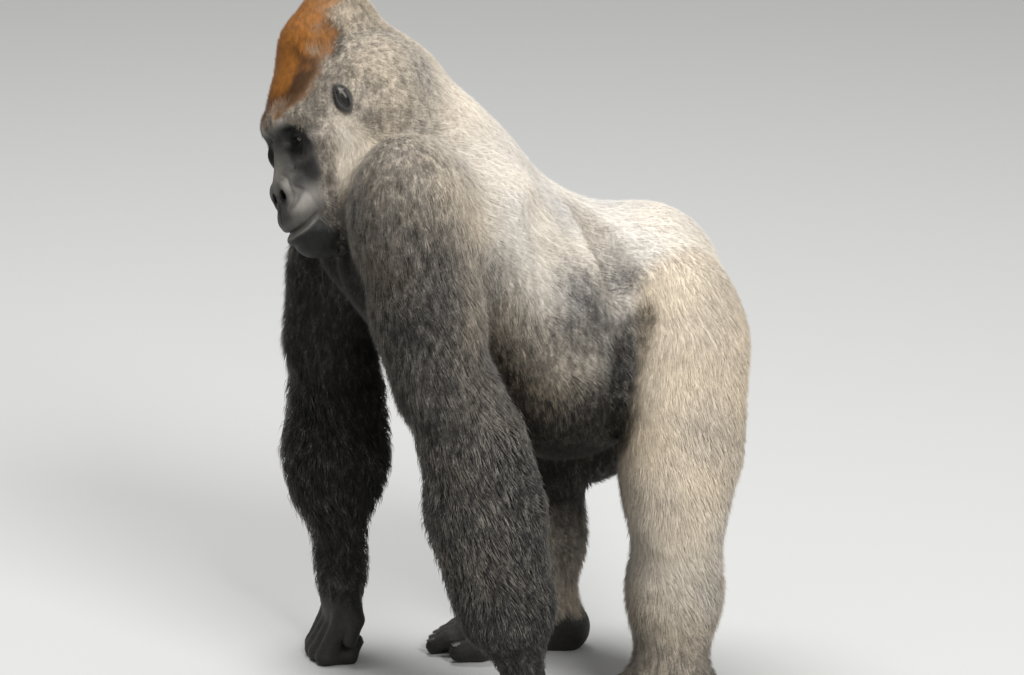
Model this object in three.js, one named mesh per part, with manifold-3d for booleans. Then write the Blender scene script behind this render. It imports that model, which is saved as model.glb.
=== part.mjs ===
// A life-size adult male gorilla (silverback) standing on its knuckles and soles, as a still museum model.
// Millimetres, +Z up. The animal faces -X, and its left side is towards -Y.
// Its form is one smooth field of named masses along a skeleton. The field is turned into facets,
// and thin flat cuts part it where a person would name its parts.
import * as THREE from "three";
import { mergeVertices } from "three/addons/utils/BufferGeometryUtils.js";
import Module from "manifold-3d";

const wasm = await Module();
wasm.setup();

// ---- Driving dimensions ----
const GAP = 0.5; // between neighbouring parts
const EYE_R = 12; // eyeball
const EYE_AT = [80, 37, 9]; // in the head's own axes: forward, left, up
const EAR_AT = [20, 97, 26];
const FINGER_R = 15.5;
const TOE_R = 14;
const PRESSED = 4; // how far the knuckles and soles are pressed flat by the animal's weight
const HAND_CELL = 19; // facet sizes
const FOOT_CELL = 26;
const BODY_CELL = 64;

// Head: where the middle between the ears is, and how it is turned.
const HEAD_AT = [-317, -8, 951];
const HEAD_YAW = 24; // degrees to the animal's left
const HEAD_PITCH = 16; // degrees nose down
const HEAD_ROLL = 25; // degrees, left ear up

// Joints of the skeleton, one set for each side. "left" stands nearer to -Y.
// cuff is the share of the forearm where its long hair ends, girth is how thick the arm is beside the
// fullest one, and ham is how far the back of the thigh hangs from its bone.
const JOINTS = {
  left: {
    shoulder: [-252, -200, 864],
    elbow: [-184, -282, 536],
    wrist: [-84, -250, 162],
    knuckle: [-74, -245, 72],
    cuff: 0.84,
    girth: 1,
    hip: [212, -118, 668],
    knee: [188, -205, 395],
    ankle: [186, -192, 82],
    toe: [40, -222, 24],
    ham: [36, 0, -6],
  },
  right: {
    shoulder: [-238, 200, 850],
    elbow: [-274, 262, 476],
    wrist: [-262, 228, 152],
    knuckle: [-268, 224, 72],
    cuff: 0.56,
    girth: 0.94,
    hip: [212, 118, 668],
    knee: [55, 196, 380],
    ankle: [66, 176, 82],
    toe: [-82, 205, 24],
    ham: [72, 0, -66],
  },
};
const SIDES = { left: -1, right: 1 }; // sign of Y

// ---- Small vector helpers on plain arrays ----
const add = (a, b) => [a[0] + b[0], a[1] + b[1], a[2] + b[2]];
const sub = (a, b) => [a[0] - b[0], a[1] - b[1], a[2] - b[2]];
const scale = (a, s) => [a[0] * s, a[1] * s, a[2] * s];
const dot = (a, b) => a[0] * b[0] + a[1] * b[1] + a[2] * b[2];
const length = (a) => Math.hypot(a[0], a[1], a[2]);
const unit = (a) => scale(a, 1 / length(a));
const mix = (a, b, t) => add(scale(a, 1 - t), scale(b, t));
const rad = THREE.MathUtils.degToRad;

// ---- Field: distance to a mass, below zero inside ----
function ball(centre, radii) {
  return (p) => {
    const q = sub(p, centre);
    const k0 = Math.hypot(q[0] / radii[0], q[1] / radii[1], q[2] / radii[2]);
    const k1 = Math.hypot(q[0] / radii[0] ** 2, q[1] / radii[1] ** 2, q[2] / radii[2] ** 2);
    return k1 < 1e-9 ? -Math.min(...radii) : (k0 * (k0 - 1)) / k1;
  };
}

// A cone with round ends, from a sphere of radius ra at a to one of radius rb at b.
function cone(a, b, ra, rb) {
  const ab = sub(b, a);
  const l2 = dot(ab, ab);
  const rr = ra - rb;
  const a2 = l2 - rr * rr;
  return (p) => {
    const pa = sub(p, a);
    const y = dot(pa, ab);
    const z = y - l2;
    const side = sub(scale(pa, l2), scale(ab, y));
    const x2 = dot(side, side);
    const y2 = y * y * l2;
    const z2 = z * z * l2;
    const k = Math.sign(rr) * rr * rr * x2;
    if (Math.sign(z) * a2 * z2 > k) return Math.sqrt(x2 + z2) / l2 - rb;
    if (Math.sign(y) * a2 * y2 < k) return Math.sqrt(x2 + y2) / l2 - ra;
    return (Math.sqrt(x2 * a2 / l2) + y * rr) / l2 - ra;
  };
}

function blend(a, b, k) {
  const h = Math.max(k - Math.abs(a - b), 0) / k;
  return Math.min(a, b) - (h * h * k) / 4;
}
const carve = (a, b, k) => -blend(-a, b, k);

// Rows of [mass, blend radius] joined in order.
function together(rows) {
  return (p) => rows.reduce((d, [mass, k]) => blend(d, mass(p), k), 1e6);
}

// ---- Head, in its own axes ----
const headAxes = (() => {
  const turn = (v, w, angle) => {
    const c = Math.cos(rad(angle));
    const s = Math.sin(rad(angle));
    return [add(scale(v, c), scale(w, s)), add(scale(v, -s), scale(w, c))];
  };
  let forward = [-Math.cos(rad(HEAD_YAW)), -Math.sin(rad(HEAD_YAW)), 0];
  let left = [Math.sin(rad(HEAD_YAW)), -Math.cos(rad(HEAD_YAW)), 0];
  let up = [0, 0, 1];
  [forward, up] = turn(forward, up, -HEAD_PITCH);
  [left, up] = turn(left, up, HEAD_ROLL);
  return [forward, left, up];
})();
const toHead = (p) => {
  const q = sub(p, HEAD_AT);
  return headAxes.map((axis) => dot(q, axis));
};
const fromHead = (h) => headAxes.reduce((p, axis, i) => add(p, scale(axis, h[i])), HEAD_AT);

const both = (make) => [1, -1].map(make);
const headMasses = together([
  [ball([-34, 0, 34], [96, 80, 96]), 10], // braincase and nape muscle
  [cone([45, 0, 67], [-30, 0, 125], 41, 51.5), 34], // forehead slope
  [cone([-30, 0, 125], [-87, 0, 145], 51.5, 63), 30], // crest and its fat pad
  [cone([-98, 0, 102], [-136, 0, 14], 56, 70), 30], // nape
  ...both((s) => [ball([24, s * 44, 36], [62, 33, 56]), 30]), // temple
  ...both((s) => [cone([90, s * 12, 50], [76, s * 58, 40], 21, 17), 18]), // brow
  ...both((s) => [cone([80, s * 60, 0], [20, s * 74, -12], 17, 22), 22]), // cheekbone
  ...both((s) => [cone([16, s * 52, -50], [52, s * 54, -122], 42, 36), 36]), // jaw and cheek hair
  ...both((s) => [ball([70, s * 44, -36], [34, 28, 44]), 24]), // cheek
  [cone([94, 0, 12], [120, 0, -44], 18, 22), 18], // nose bridge
  [ball([102, 0, -80], [50, 50, 50]), 26], // muzzle
  ...both((s) => [ball([126, s * 20, -54], [18, 19, 17]), 10]), // nose wing
  [ball([118, 0, -98], [45, 50, 29]), 14], // upper lip
  [ball([126, 0, -129], [37, 42, 16]), 9], // lower lip
  [ball([110, 0, -146], [44, 42, 27]), 16], // chin
  [ball([46, 0, -122], [76, 54, 52]), 40], // floor of the mouth
]);
const socketMasses = both((s) => ball([100, s * 37, 10], [19, 20, 14]));
const nostrilMasses = both((s) => ball([143, s * 14, -55], [13, 9, 9]));
function headField(p) {
  const h = toHead(p);
  let d = headMasses(h);
  for (const socket of socketMasses) d = carve(d, socket(h), 12);
  for (const nostril of nostrilMasses) d = carve(d, nostril(h), 6);
  return d;
}

// ---- Neck and trunk ----
const trunkField = together([
  [cone([-262, 0, 980], [-150, 0, 868], 118, 112), 40], // neck
  [cone([-170, 0, 880], [-30, 0, 735], 108, 112), 60], // back muscle between the shoulders
  [ball([-140, 0, 738], [165, 200, 180]), 60], // chest
  [ball([-14, 0, 622], [162, 250, 200]), 60], // lower ribs
  [ball([50, 0, 562], [156, 222, 174]), 50], // belly
  [cone([62, 0, 667], [178, 0, 662], 142, 134), 40], // loin
  [ball([196, 0, 645], [108, 150, 132]), 40], // pelvis
  ...both((s) => [ball([234, s * 84, 580], [98, 86, 115]), 40]), // buttock
  ...both((s) => [ball([-120, s * 130, 785], [118, 92, 120]), 60]), // shoulder blade
  ...both((s) => [ball([-250, s * 92, 745], [80, 96, 90]), 50]), // breast
  ...both((s) => [cone([-216, s * 170, 846], [-96, s * 150, 800], 88, 72), 40]), // from the arm to the blade
  ...both((s) => [cone([-66, s * 146, 846], [-34, s * 188, 706], 40, 44), 24]), // back of the shoulder
  ...both((s) => [cone([30, s * 52, 790], [46, s * 146, 724], 42, 40), 20]), // edge of the ribs
]);
const hollows = together([
  ...both((s) => [ball([128, s * 206, 740], [44, 56, 70]), 1]), // in front of the hip
  ...both((s) => [cone([-6, s * 204, 846], [2, s * 252, 730], 45, 45), 1]), // between shoulder and ribs
  ...both((s) => [cone([66, s * 62, 820], [102, s * 136, 728], 11, 17), 1]), // behind the ribs
]);

// ---- Limbs ----
// A mass along a bone: from share t0 to t1 of its length, moved sideways by shift.
function along(bone, t0, t1, r0, r1, shift = [0, 0, 0]) {
  return cone(add(mix(...bone, t0), shift), add(mix(...bone, t1), shift), r0, r1);
}

function armField(joint, s) {
  const upper = [joint.shoulder, joint.elbow];
  const fore = [joint.elbow, joint.wrist];
  const g = joint.girth;
  return together([
    [ball(add(joint.shoulder, [8, s * 8, 0]), [85 * g, 92, 112]), 10], // deltoid
    [along(upper, 0.22, 0.5, 85 * g, 87 * g, [0, 0, 0]), 40], // biceps
    [along(upper, 0.5, 0.85, 86 * g, 82 * g, [-11, 0, 0]), 34], // triceps
    [along(upper, 0.92, 1.0, 74 * g, 76 * g, [14, 0, -8]), 30], // elbow
    [along(fore, 0.14, 0.42, 88 * g, 88 * g, [11, 0, 0]), 30], // forearm muscle
    [along(fore, 0.42, joint.cuff, 88 * g, 82 * g, [-3, 0, 0]), 40], // forearm hair
    [along(fore, joint.cuff, 1.02, 56, 42), 24], // wrist
  ]);
}

// Four fingers bent under, on the backs of their middle bones, and a short thumb beside them.
const FINGERS = [-1.5, -0.5, 0.5, 1.5];
const FINGER_PITCH = 27; // from one finger to the next
function handField(joint, s) {
  const palm = joint.knuckle;
  const rows = [
    [cone(joint.wrist, add(palm, [4, 0, 28]), 40, 34), 10],
    ...FINGERS.map((f) => [
      cone(add(joint.wrist, [0, f * 14, -12]), add(palm, [0, f * FINGER_PITCH, 0]), 22, 19),
      16,
    ]),
  ];
  for (const f of FINGERS) {
    const across = f * FINGER_PITCH;
    const reach = 4 - 3 * f * f; // the middle fingers reach further
    const root = add(palm, [-4, across, -4]);
    const bend = [palm[0] - 34 - reach, palm[1] + across, FINGER_R + 1 - PRESSED];
    const heel = [palm[0] + 6, palm[1] + across, FINGER_R - PRESSED];
    const tip = [palm[0] + 20, palm[1] + across * 0.96, FINGER_R + 20];
    rows.push([cone(root, bend, FINGER_R + 2, FINGER_R + 1), 8]);
    rows.push([cone(bend, heel, FINGER_R + 1, FINGER_R), 6]);
    rows.push([cone(heel, tip, FINGER_R, FINGER_R - 3), 6]);
  }
  const inward = -s; // the thumb is on the side of the other hand
  const thumbRoot = add(joint.wrist, [6, inward * 34, -34]);
  const thumbBend = add(palm, [14, inward * 62, 8]);
  rows.push([cone(thumbRoot, thumbBend, 19, 15), 14]);
  rows.push([cone(thumbBend, add(palm, [4, inward * 66, -26]), 15, 12), 6]);
  return together(rows);
}

function legField(joint, s) {
  const thigh = [joint.hip, joint.knee];
  const shank = [joint.knee, joint.ankle];
  return together([
    [ball(add(joint.hip, [2, s * 8, -34]), [90, 88, 104]), 10], // hip
    [along(thigh, 0.3, 0.94, 91, 86, [-10, 0, 0]), 40], // thigh
    [along(thigh, 0.3, 0.86, 84, 76, joint.ham), 40], // back of the thigh
    [along(shank, 0, 0.1, 80, 78), 30], // knee
    [along(shank, 0.2, 0.62, 77, 74, [4, 0, 0]), 40], // calf
    [along(shank, 0.6, 0.98, 74, 60), 40], // ankle hair
  ]);
}

const TOES = [0, 1, 2, 3]; // the four small toes, from the inner to the outer
function footField(joint, s) {
  const heel = [joint.ankle[0] + 42, joint.ankle[1], 30 - PRESSED];
  const ballOf = mix(joint.ankle, joint.toe, 0.72);
  const spread = unit([joint.toe[1] - joint.ankle[1], joint.ankle[0] - joint.toe[0], 0]);
  const ahead = unit([joint.toe[0] - joint.ankle[0], joint.toe[1] - joint.ankle[1], 0]);
  const out = s * Math.sign(spread[1]); // +1 where spread points away from the body's middle
  const rows = [
    [cone(joint.ankle, [heel[0], heel[1], 40], 52, 38), 10], // heel
    [cone(add(joint.ankle, [-6, 0, -16]), [ballOf[0], ballOf[1], 34], 46, 33), 30], // instep
    [cone(heel, [ballOf[0], ballOf[1], 27], 30, 27), 20], // sole
  ];
  for (const t of TOES) {
    const across = scale(spread, out * (-18 + t * 24));
    const root = add([ballOf[0], ballOf[1], 27], add(across, scale(ahead, 8 - t * t * 2)));
    const bend = add(root, scale(ahead, 38));
    const tip = add(root, scale(ahead, 64 - t * 2));
    rows.push([cone([root[0], root[1], 26], [bend[0], bend[1], 24], 19, TOE_R + 1), 12]);
    rows.push([cone([bend[0], bend[1], 24], [tip[0], tip[1], TOE_R], TOE_R + 1, TOE_R - 1), 6]);
  }
  // The great toe stands off on the inner side, as a thumb does.
  const greatRoot = add(mix(joint.ankle, joint.toe, 0.34), scale(spread, -out * 30));
  const greatBend = add(greatRoot, add(scale(ahead, 52), scale(spread, -out * 30)));
  const greatTip = add(greatBend, add(scale(ahead, 38), scale(spread, -out * 4)));
  rows.push([cone([greatRoot[0], greatRoot[1], 34], [greatBend[0], greatBend[1], 25], 30, 21), 20]);
  rows.push([cone([greatBend[0], greatBend[1], 24], [greatTip[0], greatTip[1], 18], 21, 16), 8]);
  return together(rows);
}

const limbs = Object.entries(SIDES).map(([side, s]) => {
  const joint = JOINTS[side];
  const arm = armField(joint, s);
  const hand = handField(joint, s);
  const leg = legField(joint, s);
  const foot = footField(joint, s);
  return {
    side,
    joint,
    arm: (p) => blend(arm(p), p[2] < 260 ? hand(p) : 1e6, 22),
    leg: (p) => blend(leg(p), p[2] < 200 ? foot(p) : 1e6, 24),
  };
});

// How far a limb's flesh runs into the trunk: wide at its joint, and hardly at all further away.
function reach(p, joint, wide, range) {
  const t = Math.min(length(sub(p, joint)) / range, 1);
  return 10 + wide * (1 - t * t * (3 - 2 * t));
}

function gorilla(p) {
  let d = carve(trunkField(p), hollows(p), 28);
  for (const { joint, arm, leg } of limbs) {
    d = blend(d, arm(p), reach(p, joint.shoulder, 110, 260));
    d = blend(d, leg(p), reach(p, joint.hip, 70, 240));
  }
  d = blend(d, headField(p), 34);
  return Math.max(d, -p[2]); // flat where it stands
}

// ---- From the field to facets ----
// The grid planes along one axis, with a cell size that may differ from stretch to stretch.
function planes(...stretches) {
  const at = [stretches[0][0]];
  for (const [from, to, cell] of stretches) {
    const n = Math.max(1, Math.round((to - from) / cell));
    for (let i = 1; i <= n; i++) at.push(from + ((to - from) * i) / n);
  }
  return at;
}

const CORNERS = [0, 1, 2, 3, 4, 5, 6, 7].map((c) => [c & 1, (c >> 1) & 1, c >> 2]);
const EDGES = CORNERS.flatMap((a, i) =>
  [1, 2, 4].filter((bit) => !(i & bit)).map((bit) => [i, i | bit]),
);

const SLOPE_STEP = 0.5;
function slopeOf(field, p) {
  const f = field(p);
  return [0, 1, 2].map((i) => {
    const q = [...p];
    q[i] += SLOPE_STEP;
    return (field(q) - f) / SLOPE_STEP;
  });
}

// Moves a point onto the surface by short steps along the field's slope, staying in its cell.
function settle(field, p, low, high) {
  for (let step = 0; step < 4; step++) {
    const f = field(p);
    const slope = slopeOf(field, p);
    const m = Math.max(dot(slope, slope), 0.1);
    p = p.map((v, i) => Math.min(Math.max(v - (f * slope[i]) / m, low[i]), high[i]));
  }
  return p;
}

// The inside corners of a cell in groups, one for each sheet of surface that crosses it.
function cornerGroups(inside) {
  const group = CORNERS.map((_, c) => c);
  for (let pass = 0; pass < CORNERS.length; pass++)
    for (const [a, b] of EDGES) {
      if (inside[a] && inside[b]) group[a] = group[b] = Math.min(group[a], group[b]);
    }
  return group;
}

// A closed mesh of the field's zero surface: in each cell that it crosses, one point for each sheet.
// The grid lies in local axes, and place turns a local point into the part's frame.
// Flat walls half a cell inside the grid's edges close what runs out of it. swell moves it all outwards.
function facets(field, grid, { place = (p) => p, swell = 0 } = {}) {
  const walls = grid.map((g) => [(g[0] + g[1]) / 2, (g.at(-1) + g.at(-2)) / 2]);
  const local = (p) =>
    Math.max(field(place(p)), ...walls.map(([low, high], i) => Math.max(low - p[i], p[i] - high)));
  const n = grid.map((g) => g.length);
  const step = [1, n[0], n[0] * n[1]];
  const offset = CORNERS.map((corner) => dot(corner, step));
  const count = n[0] * n[1] * n[2];
  const spot = (at) => [at % n[0], Math.floor(at / n[0]) % n[1], Math.floor(at / step[2])];
  const value = new Float64Array(count);
  for (let at = 0; at < count; at++) value[at] = local(spot(at).map((c, i) => grid[i][c]));

  const positions = [];
  const points = new Map(); // from a cell to its corners' points
  for (let cell = 0; cell < count; cell++) {
    const base = spot(cell);
    if (base.some((c, i) => c === n[i] - 1)) continue;
    const v = offset.map((o) => value[cell + o]);
    const inside = v.map((x) => x < 0);
    if (inside.every((x) => x === inside[0])) continue;
    const low = base.map((c, i) => grid[i][c]);
    const size = base.map((c, i) => grid[i][c + 1] - grid[i][c]);
    const margin = scale(size, 0.04);
    const group = cornerGroups(inside);
    points.set(cell, []);
    for (const g of new Set(group.filter((_, c) => inside[c]))) {
      const crossings = EDGES.filter(([a, b]) => inside[a] !== inside[b] && group[inside[a] ? a : b] === g)
        .map(([a, b]) => mix(CORNERS[a], CORNERS[b], v[a] / (v[a] - v[b])));
      if (!crossings.length) continue;
      const middle = scale(crossings.reduce(add), 1 / crossings.length);
      const start = low.map((c, i) => c + middle[i] * size[i]);
      const p = settle(local, start, add(low, margin), sub(add(low, size), margin));
      const slope = slopeOf(local, p);
      group.forEach((own, c) => {
        if (own === g && inside[c]) points.get(cell)[c] = positions.length / 3;
      });
      positions.push(...place(add(p, scale(slope, swell / Math.max(length(slope), 1e-3)))));
    }
  }

  const faces = [];
  const quad = (q) => {
    const at = (i) => new THREE.Vector3().fromArray(positions, 3 * q[i]);
    if (at(0).distanceTo(at(2)) <= at(1).distanceTo(at(3))) faces.push(q[0], q[1], q[2], q[0], q[2], q[3]);
    else faces.push(q[1], q[2], q[3], q[1], q[3], q[0]);
  };
  for (let at = 0; at < count; at++) {
    const base = spot(at);
    for (let axis = 0; axis < 3; axis++) {
      if (base[axis] === n[axis] - 1) continue;
      const inside = value[at] < 0;
      if (inside === value[at + step[axis]] < 0) continue;
      const corner = inside ? at : at + step[axis]; // the end that lies inside
      const [u, v] = [step[(axis + 1) % 3], step[(axis + 2) % 3]];
      const ring = [at - u - v, at - v, at, at - u].map(
        (cell) => points.get(cell)[offset.indexOf(corner - cell)],
      );
      quad(inside ? ring : ring.reverse());
    }
  }
  return solid(positions, faces);
}

// ---- Solids, cut and joined ----
function solid(positions, faces) {
  const mesh = new wasm.Mesh({
    numProp: 3,
    vertProperties: new Float32Array(positions),
    triVerts: new Uint32Array(faces),
  });
  return new wasm.Manifold(mesh);
}

function solidOf(geometry, matrix = new THREE.Matrix4()) {
  const plain = geometry.clone().applyMatrix4(matrix);
  plain.deleteAttribute("normal");
  plain.deleteAttribute("uv");
  const merged = mergeVertices(plain, 1e-4);
  return solid(merged.attributes.position.array, merged.index.array);
}

function turned(point, normal) {
  const turn = new THREE.Quaternion().setFromUnitVectors(
    new THREE.Vector3(0, 0, 1),
    new THREE.Vector3(...unit(normal)),
  );
  return new THREE.Matrix4().compose(new THREE.Vector3(...point), turn, new THREE.Vector3(1, 1, 1));
}

// A block with one face through point, which lies on the side that normal points to.
function block(point, normal, width, depth, forwardBy = 0) {
  const box = new THREE.BoxGeometry(width, width, depth).translate(0, 0, depth / 2 + forwardBy);
  return solidOf(box, turned(point, normal));
}

// A thin round cut through a joint.
function cut(point, normal, radius) {
  const disc = new THREE.CylinderGeometry(radius, radius, GAP, 32).rotateX(Math.PI / 2);
  return solidOf(disc, turned(point, normal));
}

const centreOf = (piece) => {
  const { min, max } = piece.boundingBox();
  return scale(add(min, max), 0.5);
};

// The biggest of a solid's separate bodies.
function largest(whole) {
  return whole.decompose().reduce((a, b) => (a.volume() > b.volume() ? a : b));
}

// The piece whose middle is nearest to a point.
function nearest(pieces, point) {
  return pieces.reduce((best, piece) =>
    length(sub(centreOf(piece), point)) < length(sub(centreOf(best), point)) ? piece : best,
  );
}

// ---- The head and what sits in it ----
const allLimbs = limbs.flatMap(({ arm, leg }) => [arm, leg]);
const partingGrid = [planes([-480, 480, 96]), planes([-480, 480, 96]), planes([-60, 1220, 96])];

// A limb ends where its own masses stop being the nearest: at the trunk, the head or another limb.
function limbSpace(limb, swell) {
  const others = [trunkField, headField, ...allLimbs.filter((other) => other !== limb)];
  return facets((p) => limb(p) - Math.min(...others.map((f) => f(p))), partingGrid, { swell });
}
const throatSpace = (back) => block([-258, 0, 940], [-0.95, 0, 0.31], 640, 460, back);
const withoutArms = (piece) => limbs.reduce((rest, { arm }) => rest.subtract(limbSpace(arm, GAP)), piece);

const headGrid = [
  planes([-190, 30, 42], [30, 200, 17]),
  planes([-150, -66, 34], [-66, 66, 15.5], [66, 150, 34]),
  planes([-230, -190, 30], [-190, 80, 16.5], [80, 230, 40]),
];
let head = withoutArms(facets(gorilla, headGrid, { place: fromHead }).intersect(throatSpace(0)));

const eyes = both((s) => [EYE_AT[0], s * EYE_AT[1], EYE_AT[2]]).map(fromHead);
const earFrame = (s) => {
  const [forward, left, up] = headAxes;
  const basis = new THREE.Matrix4().makeBasis(
    new THREE.Vector3(...forward),
    new THREE.Vector3(...scale(left, s)),
    new THREE.Vector3(...up),
  );
  const tilt = new THREE.Matrix4().makeRotationZ(rad(-24));
  return { basis: basis.multiply(tilt), at: fromHead([EAR_AT[0], s * EAR_AT[1], EAR_AT[2]]) };
};

// An ear: an upright oval plate with a hollow in its outer face. grow widens it all round, for its pocket.
function earSolid(s, grow = 0) {
  const { basis, at } = earFrame(s);
  const oval = (radii, shift, segments) => {
    const shape = new THREE.SphereGeometry(1, segments, segments * 0.7);
    shape.scale(...radii.map((r) => r + grow)).translate(...shift);
    if (s < 0) {
      // a left-handed frame turns the faces inside out, so they are turned back
      const i = shape.index.array;
      for (let f = 0; f < i.length; f += 3) [i[f + 1], i[f + 2]] = [i[f + 2], i[f + 1]];
    }
    return solidOf(shape, new THREE.Matrix4().setPosition(...at).multiply(basis));
  };
  const plate = oval([17, 13, 30], [0, 0, 0], 11);
  return grow ? plate : plate.subtract(oval([10, 9, 20], [3, 11, 3], 8));
}
const ears = both((s) => earSolid(s));
for (const s of [1, -1]) head = head.subtract(earSolid(s, GAP));

function eyeBall(centre, r) {
  return solidOf(new THREE.IcosahedronGeometry(r, 1).translate(...centre));
}
for (const eye of eyes) head = head.subtract(eyeBall(eye, EYE_R + GAP));
head = nearest(head.decompose(), fromHead([20, 0, 0]));

// ---- The rest of the body, whole, then parted ----
const bodyGrid = [
  planes([-480, 440, BODY_CELL]),
  planes([-460, 460, BODY_CELL]),
  planes([-30, 50, 26], [50, 1210, BODY_CELL]),
];
const wristCut = (joint) => ({ point: joint.wrist, normal: [0, 0, -1] });
const ankleCut = (joint) => ({ point: add(joint.ankle, [0, 0, 34]), normal: [0, 0, -1] });
let body = facets(gorilla, bodyGrid);
for (const { joint } of limbs) {
  body = body.subtract(block(wristCut(joint).point, wristCut(joint).normal, 220, 240, -GAP));
  body = body.subtract(block(ankleCut(joint).point, ankleCut(joint).normal, 300, 240, -GAP));
}

const pieces = {};
for (const { side, joint, arm, leg } of limbs) {
  const parts = {
    arm: [arm, cut(joint.elbow, sub(joint.wrist, joint.shoulder), 130)],
    leg: [leg, cut(joint.knee, sub(joint.ankle, joint.hip), 190)],
  };
  for (const [name, [limb, middleCut]] of Object.entries(parts)) {
    const whole = largest(body.intersect(limbSpace(limb, 0)));
    pieces[`${name}_${side}`] = whole.subtract(middleCut).decompose();
    body = body.subtract(limbSpace(limb, GAP));
  }
}
const trunkCuts = [
  cut([-150, 0, 875], [-0.72, 0, 0.69], 400), // neck from chest
  cut([-20, 0, 625], [-1, 0, 0.1], 400), // chest from belly
  cut([140, 0, 600], [-0.98, 0, 0.1], 400), // belly from pelvis
];
const trunk = [throatSpace(-GAP), ...trunkCuts].reduce((whole, c) => whole.subtract(c), body).decompose();

// ---- Materials ----
const finish = (color, roughness, metalness = 0) =>
  new THREE.MeshStandardMaterial({ color, roughness, metalness });
const DARK_COAT = finish(0x2f2c2b, 0.85);
const GREY_COAT = finish(0x6f675f, 0.85);
const SILVER_COAT = finish(0xb3a99c, 0.85);
const HEAD_COAT = finish(0x7a6a5c, 0.85);
const BARE_SKIN = finish(0x1f1c1c, 0.55);
const EYE_GLOSS = finish(0x24120a, 0.1);

// ---- The group ----
const group = new THREE.Group();
function named(name, piece, material) {
  const mesh = piece.getMesh();
  const geometry = new THREE.BufferGeometry();
  geometry.setAttribute("position", new THREE.BufferAttribute(mesh.vertProperties, 3));
  geometry.setIndex(new THREE.BufferAttribute(mesh.triVerts, 1));
  geometry.computeVertexNormals();
  const made = new THREE.Mesh(geometry, material);
  made.name = name;
  group.add(made);
}

named("head", head, HEAD_COAT);
["left", "right"].forEach((side, i) => {
  named(`eye_${side}`, eyeBall(eyes[i], EYE_R), EYE_GLOSS);
  named(`ear_${side}`, ears[i], BARE_SKIN);
});
named("neck", nearest(trunk, [-215, 0, 950]), HEAD_COAT);
named("chest", nearest(trunk, [-120, 0, 700]), GREY_COAT);
named("belly", nearest(trunk, [80, 0, 590]), SILVER_COAT);
named("pelvis", nearest(trunk, [240, 0, 650]), SILVER_COAT);

for (const { side, joint } of limbs) {
  const [arm, leg] = [pieces[`arm_${side}`], pieces[`leg_${side}`]];
  named(`upper_arm_${side}`, nearest(arm, mix(joint.shoulder, joint.elbow, 0.5)), DARK_COAT);
  named(`forearm_${side}`, nearest(arm, mix(joint.elbow, joint.wrist, 0.5)), DARK_COAT);
  named(`thigh_${side}`, nearest(leg, mix(joint.hip, joint.knee, 0.5)), SILVER_COAT);
  named(`shank_${side}`, nearest(leg, mix(joint.knee, joint.ankle, 0.5)), GREY_COAT);

  const { wrist, knuckle, ankle, toe } = joint;
  const handGrid = [
    planes([knuckle[0] - 80, knuckle[0] + 70, HAND_CELL]),
    planes([knuckle[1] - 96, knuckle[1] + 96, HAND_CELL * 0.86]),
    planes([-12, 196, HAND_CELL]),
  ];
  const hand = facets(gorilla, handGrid).intersect(block(wristCut(joint).point, [0, 0, -1], 220, 240));
  named(`hand_${side}`, nearest(hand.decompose(), mix(wrist, knuckle, 0.7)), BARE_SKIN);

  const footGrid = [
    planes([toe[0] - 70, ankle[0] + 120, FOOT_CELL]),
    planes([Math.min(ankle[1], toe[1]) - 110, Math.max(ankle[1], toe[1]) + 110, FOOT_CELL * 0.8]),
    planes([-14, 154, FOOT_CELL]),
  ];
  const foot = facets(gorilla, footGrid).intersect(block(ankleCut(joint).point, [0, 0, -1], 420, 240));
  named(`foot_${side}`, nearest(foot.decompose(), mix(ankle, toe, 0.3)), BARE_SKIN);
}

// The origin is on the floor, under the middle of the animal's box.
const box = new THREE.Box3().setFromObject(group);
group.position.set(-(box.min.x + box.max.x) / 2, -(box.min.y + box.max.y) / 2, -box.min.z);

export default group;
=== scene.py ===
"""A life-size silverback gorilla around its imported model, as a still museum piece.

The animal faces -X and its left side is towards -Y, +Z is up. Sizes below are in millimetres in the
model's own axes, as they are in the part's construction; to_frame() turns them to the frame's metres.
The flesh is one skin, made from the same smooth masses as the part, and its coat is solid tufts.
"""
import math

import bpy
import numpy as np
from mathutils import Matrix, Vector, kdtree


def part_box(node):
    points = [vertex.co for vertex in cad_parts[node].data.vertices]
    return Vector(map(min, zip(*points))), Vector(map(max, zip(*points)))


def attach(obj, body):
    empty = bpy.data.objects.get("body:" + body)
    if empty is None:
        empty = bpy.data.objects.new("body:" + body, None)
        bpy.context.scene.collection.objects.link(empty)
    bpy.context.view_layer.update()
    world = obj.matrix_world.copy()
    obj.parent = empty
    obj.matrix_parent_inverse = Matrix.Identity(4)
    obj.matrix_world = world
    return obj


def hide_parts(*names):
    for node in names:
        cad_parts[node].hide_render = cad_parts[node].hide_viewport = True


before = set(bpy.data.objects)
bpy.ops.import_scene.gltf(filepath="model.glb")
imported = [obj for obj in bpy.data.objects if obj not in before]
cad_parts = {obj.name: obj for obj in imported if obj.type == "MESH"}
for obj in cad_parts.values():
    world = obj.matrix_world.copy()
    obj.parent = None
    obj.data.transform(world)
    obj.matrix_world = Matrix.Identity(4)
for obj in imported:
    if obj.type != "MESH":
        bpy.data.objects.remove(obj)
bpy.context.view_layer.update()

MM = 0.001
SEED = 7

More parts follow.
